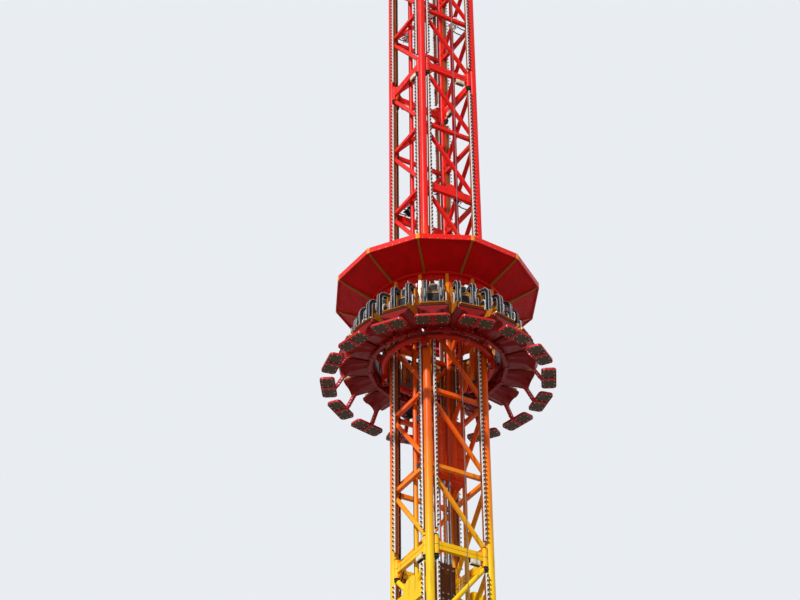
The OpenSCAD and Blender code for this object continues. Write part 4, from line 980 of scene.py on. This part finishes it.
def makeSeatPads():
    piping, = newShapes(1)
    for name, surface, outward, halfU, halfV, crown, steps, channels, heightOf, along in padKinds:
        start, = newShapes(1)
        rim = addPad(start, surface, outward, halfU, halfV, crown, steps)
        points, faces = inflatePad(name, start, heightOf)
        sewn = []
        for p in points:
            p = Vector(p)
            near = sum(math.exp(-((along(p) / halfU - c) / padMaking["channelWidth"]) ** 2) for c in channels)
            room = max(heightOf(p) - padMaking["leastHeight"], 0)
            sewn.append(p - outward * min(near * padMaking["channelDepth"], room))
        lift = outward * crown * padMaking["pipingLift"]
        for k in range(seats["count"]):
            turn = seatTurn(k)
            shape, = newShapes(1)
            addFaces(shape, sewn, faces, turn)
            pad = finishPiece("gondola", "%s%02d" % (name, k + 1), shape, "seatSkin", "restraint_black", 60)
            addTube(piping, [turn @ (p + lift) for p in rim[::2] + rim[:1]], padMaking["pipingRadius"], 6)
    finishPiece("gondola", "seatPiping", piping, "piping", "restraint_black")


makeSeatPads()
print("seat pads made")


# shoulder restraints: piping on the foam, a crowned lap pad, grips

restraints = {
    "x": 0.24, "bend": 0.17, "inner": 0.086, "down": 0.56, "half": 0.042, "shoulder": 0.158, "width": 0.035,
    "outerStart": 0.12, "innerStart": 0.14, "straight": 0.06, "bendSteps": 8, "kneeZ": -0.35, "pipingRadius": 0.0065,
    "gripTube": ((0.4, -0.26), (0.44, -0.262), (0.462, -0.28), (0.468, -0.31), (0.468, -0.42), (0.462, -0.45),
                 (0.44, -0.468), (0.4, -0.47)),
    "gripTubeRadius": 0.011, "gripX": 0.468, "gripZ": -0.416,
    "grip": ((0.0112, 0), (0.018, 0.004), (0.0185, 0.012), (0.0165, 0.03), (0.0185, 0.05), (0.0165, 0.07),
             (0.0185, 0.09), (0.018, 0.098), (0.0112, 0.102)),
    "collar": disc(0.036, -0.018, 0.018, (0.002, 0.004), (0.002, 0.004), 0.0202), "collarY": 0.205,
    "padHalf": ((0.0475, 0), (0.047, 0.04), (0.045, 0.09), (0.04, 0.115), (0.03, 0.121), (0, 0.121)), "padUp": 0.006,
}


def restraintEdge(radius, startX):
    # one edge of a shoulder bar, from the hinge round the shoulder down to the lap
    cx, cz = restraints["x"], restraints["half"] - restraints["bend"]
    points = [(startX, cz + radius), (startX + restraints["straight"], cz + radius)]
    for n in range(restraints["bendSteps"] + 1):
        a = math.radians(90 - 90 * n / restraints["bendSteps"])
        points.append((cx + radius * math.cos(a), cz + radius * math.sin(a)))
    return points + [(cx + radius, restraints["kneeZ"]), (cx + radius, -restraints["down"])]


def makeRestraints():
    r = restraints
    lapX = r["x"] + r["bend"] - r["half"]
    lapPad = [(radius, -z) for radius, z in reversed(r["padHalf"][1:])] + list(r["padHalf"])
    for k in range(seats["count"]):
        body = "restraint_%02d" % (k + 1)
        place = at(seatTurn(k), seats["hingeRadius"], 0, seats["hingeZ"])
        trims, pads, grips, tubes = newShapes(4)
        for side in (-1, 1):
            y = side * r["shoulder"]
            for radius, startX in ((r["bend"], r["outerStart"]), (r["inner"], r["innerStart"])):
                for edge in (-r["width"], r["width"]):
                    path = [(x, y + edge, z) for x, z in restraintEdge(radius, startX)]
                    addTube(trims, path, r["pipingRadius"], 6, place)
            addTube(tubes, [(x, y, z) for x, z in r["gripTube"]], r["gripTubeRadius"], 10, place)
            addTurned(grips, r["grip"], at(place, r["gripX"], y, r["gripZ"]), 14)
            # collar where the bar meets the hinge tube
            addTurned(tubes, r["collar"], at(place, 0, side * r["collarY"], 0, (0, 1, 0)), 20)
        addTurned(pads, lapPad, at(place, lapX, 0, r["padUp"] - r["down"], (0, 1, 0)), 28)
        number = "%02d" % (k + 1)
        finishPiece(body, "restraintPiping" + number, trims, "piping", "restraint_black")
        pad = finishPiece(body, "lapPad" + number, pads, "seatSkin", "restraint_black", 60)
        finishPieces(body, ("restraintGrips" + number, grips, "grip", "restraint_black", 60),
                     ("gripTubes" + number, tubes, "galvanised", "restraint_black"))


makeRestraints()
print("restraints dressed")


# seat fittings: side handles, hull edging and bolts, foot rest panels and treads, air cylinders behind the backs

fittings = {
    "halfWide": 0.216, "flare": math.tan(math.radians(4.5)),
    "handle": ((1.52, 1.0), (1.575, 1.035), (1.63, 1.03), (1.662, 0.99), (1.672, 0.93), (1.668, 0.86), (1.655, 0.79),
               (1.64, 0.72)),
    "handleOut": 0.014, "handleRadius": 0.012, "handleFoot": ((0.012, 0), (0.02, 0.002), (0.02, 0.01), (0.012, 0.014)),
    "handleFeet": ((1.545, 1.012, (0.6, 0, 0.8)), (1.646, 0.745, (0.1, 0, 1))),
    "rim": ((1.31, 0.238), (1.45, 0.265), (1.668, 0.302), (1.80, 0.302), (1.93, 0.302)), "rimDrop": 0.012,
    "noseX": 1.94, "noseY": 0.255, "noseRadius": 0.0475, "rimFront": ((1.986, 0.2), (1.986, 0.1), (1.986, 0)),
    "edgingRadius": 0.007, "sideBolt": (0.013, 0.005, 0.0015), "sideBoltOut": 0.028,
    "sideBolts": ((1.44, 0.05), (1.55, 0.05), (1.66, 0.05), (1.77, 0.05), (1.88, 0.05),
                  (1.45, 0.25), (1.45, 0.42), (1.45, 0.58)),
    "panel": roundedOutline(0.262, 0.282, 0.05), "panelThick": 0.006, "panelX": 2.192, "panelY": 0.181,
    "panelZ": -0.0066, "panelBolts": ((-0.11, -0.12), (0, -0.12), (0.11, -0.12), (-0.11, 0), (0.11, 0),
                                      (-0.0946, 0.108), (0, 0.12), (0.0946, 0.108)),
    "panelBoltZ": -0.0064, "panelBolt": (0.014, 0.005, 0.002), "treadThick": 0.005, "treadZ": 0.0165,
    "treadRibs": 9, "ribPitch": 0.025, "ribHalf": (0.005, 0.118), "ribLow": 0.021, "ribHigh": 0.0255,
    "cylinder": ((0, 0), (0.024, 0), (0.026, 0.004), (0.026, 0.03), (0.0225, 0.032), (0.0225, 0.27), (0.026, 0.272),
                 (0.026, 0.3), (0.012, 0.306), (0, 0.306)),
    "rod": ((0, 0.3), (0.009, 0.3), (0.009, 0.5), (0.017, 0.505), (0.017, 0.54), (0, 0.545)),
    "cylinderX": 1.292, "cylinderY": 0.13, "cylinderZ": 0.72,
    "airLine": ((1.292, 0.156, 0.74), (1.285, 0.185, 0.72), (1.28, 0.2, 0.66)), "airLineRadius": 0.006,
    "keelX": (1.34, 1.38), "keelY": 0.13, "keelZ": 0.3695, "keelBolt": (0.022, 0.01, 0.003),
    "postZ": (0.06, 0.12, 0.18), "postX": 1.885, "postTop": 0.25, "postLean": 0.52, "postY": 0.035,
    "postBolt": (0.016, 0.007, 0.002), "strapHalf": 0.023, "strapThick": 0.004,
    "strap": ((1.965, 0.6), (1.92, 0.633), (1.86, 0.622), (1.80, 0.612), (1.74, 0.606)),
    "buckles": ((roundedOutline(0.075, 0.052, 0.01), 0.02, 1.72, 0.602, 0.004),
                (roundedOutline(0.02, 0.03, 0.004), 0.004, 1.71, 0.621, 0.001)),
}


def flankY(radius, out):
    # half the width of the seat's hull, which widens outwards
    return fittings["halfWide"] + (radius - seats["backRadius"]) * fittings["flare"] + out


def hullRim(side):
    f, r = fittings, fittings["noseRadius"]
    nose = [(f["noseX"] + r * math.sin(a), f["noseY"] + r * math.cos(a)) for a in map(math.radians, (20, 40, 60, 80))]
    return [(x, side * y, seats["panZ"] - f["rimDrop"]) for x, y in (*f["rim"], *nose, *f["rimFront"])]


def makeFittings():
    handles, edging, bolts, panels, treads, footBolts, cylinders, rods, straps, buckles = newShapes(10)
    f, panZ = fittings, seats["panZ"]
    for k in range(seats["count"]):
        turn = seatTurn(k)
        foot = at(turn, 0, 0, seats["footZ"])
        for side in (-1, 1):
            path = [(x, side * flankY(x, f["handleOut"]), z) for x, z in f["handle"]]
            addTube(handles, path, f["handleRadius"], 10, foot)
            for x, z, direction in f["handleFeet"]:
                place = at(foot, x, side * flankY(x, f["handleOut"]), z, direction)
                addTurned(handles, f["handleFoot"], place, 14)
            # rubber edging round the hull's rim
            addTube(edging, hullRim(side), f["edgingRadius"], 6, turn)
            for x, z in f["sideBolts"]:
                place = at(turn, x, side * flankY(x, f["sideBoltOut"]), panZ + z, (-f["flare"], side, 0))
                addBolt(bolts, place, *f["sideBolt"])
            # foot rest: olive panels let into the underside, rubber treads on top
            x, y = f["panelX"], side * f["panelY"]
            addPlate(panels, f["panel"], f["panelThick"], at(foot, x, y, f["panelZ"]), 0.0015)
            for dx, dy in f["panelBolts"]:
                addBolt(footBolts, at(foot, x + dx, y + side * dy, f["panelBoltZ"], (0, 0, -1)), *f["panelBolt"])
            addPlate(treads, f["panel"], f["treadThick"], at(foot, x, y, f["treadZ"]), 0.0012)
            halfX, halfY = f["ribHalf"]
            for dx in spread(f["treadRibs"], f["ribPitch"]):
                place = at(foot, x + dx, y, 0)
                addBlock(treads, (-halfX, -halfY, f["ribLow"]), (halfX, halfY, f["ribHigh"]), place, 0.0015)
            # air cylinder that locks the restraint, between the post and the seat back
            base = at(foot, f["cylinderX"], side * f["cylinderY"], f["cylinderZ"])
            addTurned(cylinders, f["cylinder"], base, 18)
            addTurned(rods, f["rod"], base, 12)
            addTube(edging, [(x, side * y, z) for x, y, z in f["airLine"]], f["airLineRadius"], 6, foot)
            # bolts on the hull's keel and on the foot rest's post
            for x in f["keelX"]:
                addBolt(bolts, at(foot, x, side * f["keelY"], f["keelZ"], (0, 0, -1)), *f["keelBolt"])
            for z in f["postZ"]:
                x = f["postX"] + (f["postTop"] - z) * f["postLean"]
                addBolt(bolts, at(foot, x, side * f["postY"], z, (0, side, 0)), *f["postBolt"])
        # lap strap lying over the front of the cushion, with its buckle
        for (x0, z0), (x1, z1) in zip(f["strap"], f["strap"][1:]):
            w = f["strapHalf"]
            corners = (x0, -w, z0), (x0, w, z0), (x1, w, z1), (x1, -w, z1)
            points = [(x, y, z + up) for up in (0, f["strapThick"]) for x, y, z in corners]
            faces = [[3, 2, 1, 0], [4, 5, 6, 7], [0, 1, 5, 4], [1, 2, 6, 5], [2, 3, 7, 6], [3, 0, 4, 7]]
            addFaces(straps, points, faces, foot)
        for outline, thickness, x, z, edge in f["buckles"]:
            addPlate(buckles, outline, thickness, at(foot, x, 0, z), edge)
    finishPieces(
        "gondola", ("seatHandles", handles, "whitePlastic", "light_channel"),
        ("hullEdging", edging, "blackPlastic", "restraint_black"),
        ("hullBolts", bolts, "zinc", "sheave_steel", 30),
        ("footPanels", panels, "olivePanel", "foot_rest_red"),
        ("footTreads", treads, "blackPlastic", "restraint_black"),
        ("footBolts", footBolts, "zinc", "sheave_steel", 30),
        ("airCylinders", cylinders, "greyPlastic", "race_steel"),
        ("cylinderRods", rods, "zinc", "race_steel"),
        ("lapStraps", straps, "webbing", "restraint_black"),
        ("lapBuckles", buckles, "blackPlastic", "restraint_black"))


makeFittings()
print("seat fittings made")


# canopy: screws in the soffit, a rolled lip on the rim, rivets on the rim and the caps

canopy = {
    "corners": 12, "first": 19.0, "radius": 2.119, "rimZ": 25.14, "rimHeight": 0.118, "hubZ": 24.79, "hubHeight": 0.06,
    "hubRadius": 1.4, "hubGap": 0.02, "soffitUp": 0.025,
    "screw": ((0, 0), (0.009, 0), (0.0085, 0.002), (0.005, 0.0042), (0, 0.005)), "screwSunk": 0.0005, "screwIn": 0.055,
    "ribScrews": 8, "firstScrew": 1.42, "screwPitch": 0.08, "rimScrews": 9, "rimScrewPitch": 0.11,
    "lipIn": 0.012, "lipShort": 0.042, "lips": ((0.001, 0.009), (0.118, 0.0072)),
    "rivet": ((0, 0), (0.006, 0), (0.005, 0.002), (0, 0.003)), "rivets": 7, "rivetPitch": 0.15, "rivetUp": 0.022,
    "capRivet": ((0, 0), (0.007, 0), (0.006, 0.003), (0, 0.0045)), "capRivetOut": 0.0205, "capRivetUp": (0.02, 0.1),
}


def soffitZ(radius):
    half = math.pi / canopy["corners"]
    apothem = canopy["radius"] * math.cos(half)
    inner = canopy["hubRadius"] * math.cos(half) - canopy["hubGap"]
    low = canopy["hubZ"] + canopy["hubHeight"]
    return low + (radius - inner) * (canopy["rimZ"] + canopy["soffitUp"] - low) / (apothem - inner)


def makeCanopy():
    screws, lip, rivets = newShapes(3)
    c, half = canopy, math.pi / canopy["corners"]
    apothem = c["radius"] * math.cos(half)
    slope = math.atan2(soffitZ(1) - soffitZ(0), 1)
    down = (math.sin(slope), 0, -math.cos(slope))
    screwRadii = [c["firstScrew"] + n * c["screwPitch"] for n in range(c["ribScrews"])]
    screwPlaces = [(r, side * (r * math.tan(half) - c["screwIn"])) for r in screwRadii for side in (-1, 1)]
    screwPlaces += [(apothem - c["screwIn"], y) for y in spread(c["rimScrews"], c["rimScrewPitch"])]
    reach =apothem * math.tan(half) - c["lipShort"]
    for k in range(c["corners"]):
        corner = turnZ(c["first"] + 360 / c["corners"] * k)
        middle = turnZ(c["first"] + 360 / c["corners"] * (k + 0.5))
        for x, y in screwPlaces:
            addTurned(screws, c["screw"], at(middle, x, y, soffitZ(x) - c["screwSunk"], down), 8)
        for up, radius in c["lips"]:
            x, z = apothem - c["lipIn"], c["rimZ"] + up
            addTube(lip, [(x, -reach, z), (x, reach, z)], radius, 10, middle)
        for y in spread(c["rivets"], c["rivetPitch"]):
            addTurned(rivets, c["rivet"], at(middle, apothem, y, c["rimZ"] + c["rivetUp"], (1, 0, 0)), 8)
        for side in (-1, 1):
            for up in c["capRivetUp"]:
                out = c["capRivetOut"]
                place = at(corner, c["radius"] - out * math.sin(half), side * out, c["rimZ"] + up,
                           (math.cos(half), side * math.sin(half), 0))
                addTurned(rivets, c["capRivet"], place, 8)
    finishPieces("gondola", ("soffitScrews", screws, "canopy_inside", "canopy_inside"),
                 ("rimLip", lip, "canopy_red", "canopy_red"), ("rimRivets", rivets, "zinc", "sheave_steel"))


makeCanopy()
print("canopy dressed")


# foot and head of the ride: anchor nuts, motor fins and covers, bearing caps of the sheaves

plant = {
    "anchorReach": 1.15, "anchorWide": 0.21, "anchorNarrow": 0.09, "anchorZ": 0.03,
    "anchor": ((disc(0.038, 0, 0.006, (0.002, 0.003), (0.002, 0.003)), 20),
               (disc(0.0245, 0.006, 0.032, (0.0005, 0.004), (0.0035, 0.004)), 6),
               (disc(0.0135, 0.032, 0.062, end=(0.0025, 0.004)), 14)),
    "sheaveY": 0.6, "motorZ": 0.86, "headZ": 38.314, "capX": 0.086,
    "cap": ((0.031, -0.002), (0.075, -0.002), (0.078, 0.002), (0.078, 0.012), (0.05, 0.02), (0.046, 0.03), (0, 0.034)),
    "capBolts": 6, "capBoltRadius": 0.062, "capBoltUp": 0.0115, "capBolt": (0.018, 0.009, 0.002),
    "fins": 24, "fin": ((-0.31, -0.004, 0.127), (-0.125, 0.004, 0.152)), "finFree": 0.25, "coverX": -0.33,
    "cover": ((0, 0.05), (0.06, 0.05), (0.1, 0.045), (0.138, 0.02), (0.142, 0), (0.142, -0.02), (0.13, -0.02)),
    "box":((-0.28, -0.06, 0.14), (-0.17, 0.06, 0.205)), "boxEdge": 0.006,
}


def makePlant():
    nuts, fins, hubs = newShapes(3)
    p = plant
    for k in range(4):
        for a in (-p["anchorNarrow"], p["anchorNarrow"]):
            for b in (-p["anchorWide"], p["anchorWide"]):
                for profile, sides in p["anchor"]:
                    addTurned(nuts, profile, at(turnZ(90 * k), p["anchorReach"] + a, b, p["anchorZ"]), sides)
    for k in range(2):
        turn = turnZ(180 * k)
        for z, direction in ((p["motorZ"], 1), (p["headZ"], -1), (p["headZ"], 1)):
            place = at(turn, direction * p["capX"], -p["sheaveY"], z, (direction, 0, 0))
            addTurned(hubs, p["cap"], place, 28)
            addBoltCircle(nuts, place, p["capBolts"], p["capBoltRadius"], p["capBoltUp"], p["capBolt"])
        place = at(turn, 0, -p["sheaveY"], p["motorZ"])
        for n in range(p["fins"]):
            a = 2 * math.pi * n / p["fins"]
            # the side towards the middle of the ride has no fins
            if abs(math.sin(a) + 1) >= p["finFree"]:
                spin = place @ Matrix.Rotation(a, 4, "X")
                addBlock(fins, *p["fin"], spin, 0.0015)
        addTurned(fins, p["cover"], at(place, p["coverX"], 0, 0, (-1, 0, 0)), 32)
        addBlock(fins, *p["box"], place, p["boxEdge"])
    finishPieces("tower", ("anchorNuts", nuts, "galvanised", "sheave_steel", 30),
                 ("motorFins", fins, "motor_blue", "motor_blue", 30),
                 ("bearingCaps", hubs, "sheave_steel", "sheave_steel"))


makePlant()
print("foot and head dressed")


# camera at the photograph's viewing angle, low in front and to the left

viewPoint = {
    "distance": 31.726, "eyeHeight": 1.99, "azimuth": 31.5, "pitch": 36.139, "roll": -0.374, "yaw": -1.355,
    "focalPixels": 1915.6, "imageWidth": 800, "sensor": 36, "clipStart": 0.5, "clipEnd": 400,
}


def makeCamera():
    v = viewPoint
    turn = Matrix.Rotation(math.radians(-v["azimuth"]), 3, "Z")
    yaw, pitch, roll = (math.radians(v[k]) for k in ("yaw", "pitch", "roll"))
    right = turn @ Vector((math.cos(yaw), -math.sin(yaw), 0))
    ahead = turn @ Vector((math.sin(yaw), math.cos(yaw), 0))
    up = Vector((0, 0, 1))
    forward = math.cos(pitch) * ahead + math.sin(pitch) * up
    lift = -math.sin(pitch) * ahead + math.cos(pitch) * up
    axisX = math.cos(roll) * right + math.sin(roll) * lift
    axisY = -math.sin(roll) * right + math.cos(roll) * lift
    camera = bpy.data.objects.new("camera", bpy.data.cameras.new("camera"))
    bpy.context.scene.collection.objects.link(camera)
    place = Matrix((axisX, axisY, -forward)).transposed().to_4x4()
    place.translation = turn @ Vector((0, -v["distance"], 0)) + Vector((0, 0, v["eyeHeight"]))
    camera.matrix_world = place
    camera.data.sensor_width = v["sensor"]
    camera.data.lens = v["focalPixels"] * v["sensor"] / v["imageWidth"]
    camera.data.clip_start = v["clipStart"]
    camera.data.clip_end = v["clipEnd"]
    bpy.context.scene.camera = camera


# plain pale floor and background, and soft studio light

studio = {
    "floorColour": "#D9DCE0", "floorBounce": "#726E6A", "floorReach": 90, "floorZ": -0.001, "ambient": 0.44,
    "backdrop": "#E9EDF2", "softness": 3,
    "lights": (("keyLight", 3.25, -28, 36), ("fillLight", 0.35, 95, 20)),
}


def makeStudio():
    floorMesh = bpy.data.meshes.new("floor")
    r, z = studio["floorReach"], studio["floorZ"]
    floorMesh.from_pydata([(-r, -r, z), (r, -r, z), (r, r, z), (-r, r, z)], [], [(0, 1, 2, 3)])
    floor = bpy.data.objects.new("floor", floorMesh)
    bpy.context.scene.collection.objects.link(floor)
    # the floor looks pale, but throws little light back up under the ride
    material, tree = newMaterial("matFloor")
    diffuse = addNode(tree, "ShaderNodeLightPath").outputs["Is Diffuse Ray"]
    colour = blend(tree, diffuse, studio["floorColour"], studio["floorBounce"])
    setShader(tree, {"Roughness": 0.9, "Base Color": colour})
    floorMesh.materials.append(material)
    # white light all round, and a pale backdrop where the camera looks past the ride
    world = bpy.data.worlds.new("studio")
    world.use_nodes = True
    bpy.context.scene.world = world
    tree = world.node_tree
    background = tree.nodes["Background"]
    setInput(tree, background.inputs["Color"], "#FFFFFF")
    setInput(tree, background.inputs["Strength"], studio["ambient"])
    pale = addNode(tree, "ShaderNodeBackground", {"Color": studio["backdrop"], "Strength": 1.0})
    rays = addNode(tree, "ShaderNodeLightPath").outputs
    seen = rays["Is Camera Ray"]
    for ray in ("Is Glossy Ray", "Is Transmission Ray"):
        seen = addNode(tree, "ShaderNodeMath", {0: seen, 1: rays[ray]}, operation="MAXIMUM").outputs[0]
    mixed = addNode(tree, "ShaderNodeMixShader", {0: seen, 1: background.outputs[0], 2: pale.outputs[0]})
    tree.links.new(mixed.outputs[0], tree.nodes["World Output"].inputs["Surface"])
    for name, strength, azimuth, height in studio["lights"]:
        lamp = bpy.data.objects.new(name, bpy.data.lights.new(name, "SUN"))
        bpy.context.scene.collection.objects.link(lamp)
        lamp.data.energy = strength
        lamp.data.angle = math.radians(studio["softness"])
        a, h = math.radians(azimuth - viewPoint["azimuth"]), math.radians(height)
        towards = Vector((math.sin(a) * math.cos(h), -math.cos(a) * math.cos(h), math.sin(h)))
        lamp.rotation_mode = "QUATERNION"
        lamp.rotation_quaternion = towards.to_track_quat("Z", "Y")


makeCamera()
makeStudio()
print("camera and studio light placed")

bpy.context.scene.view_settings.view_transform = "Standard"
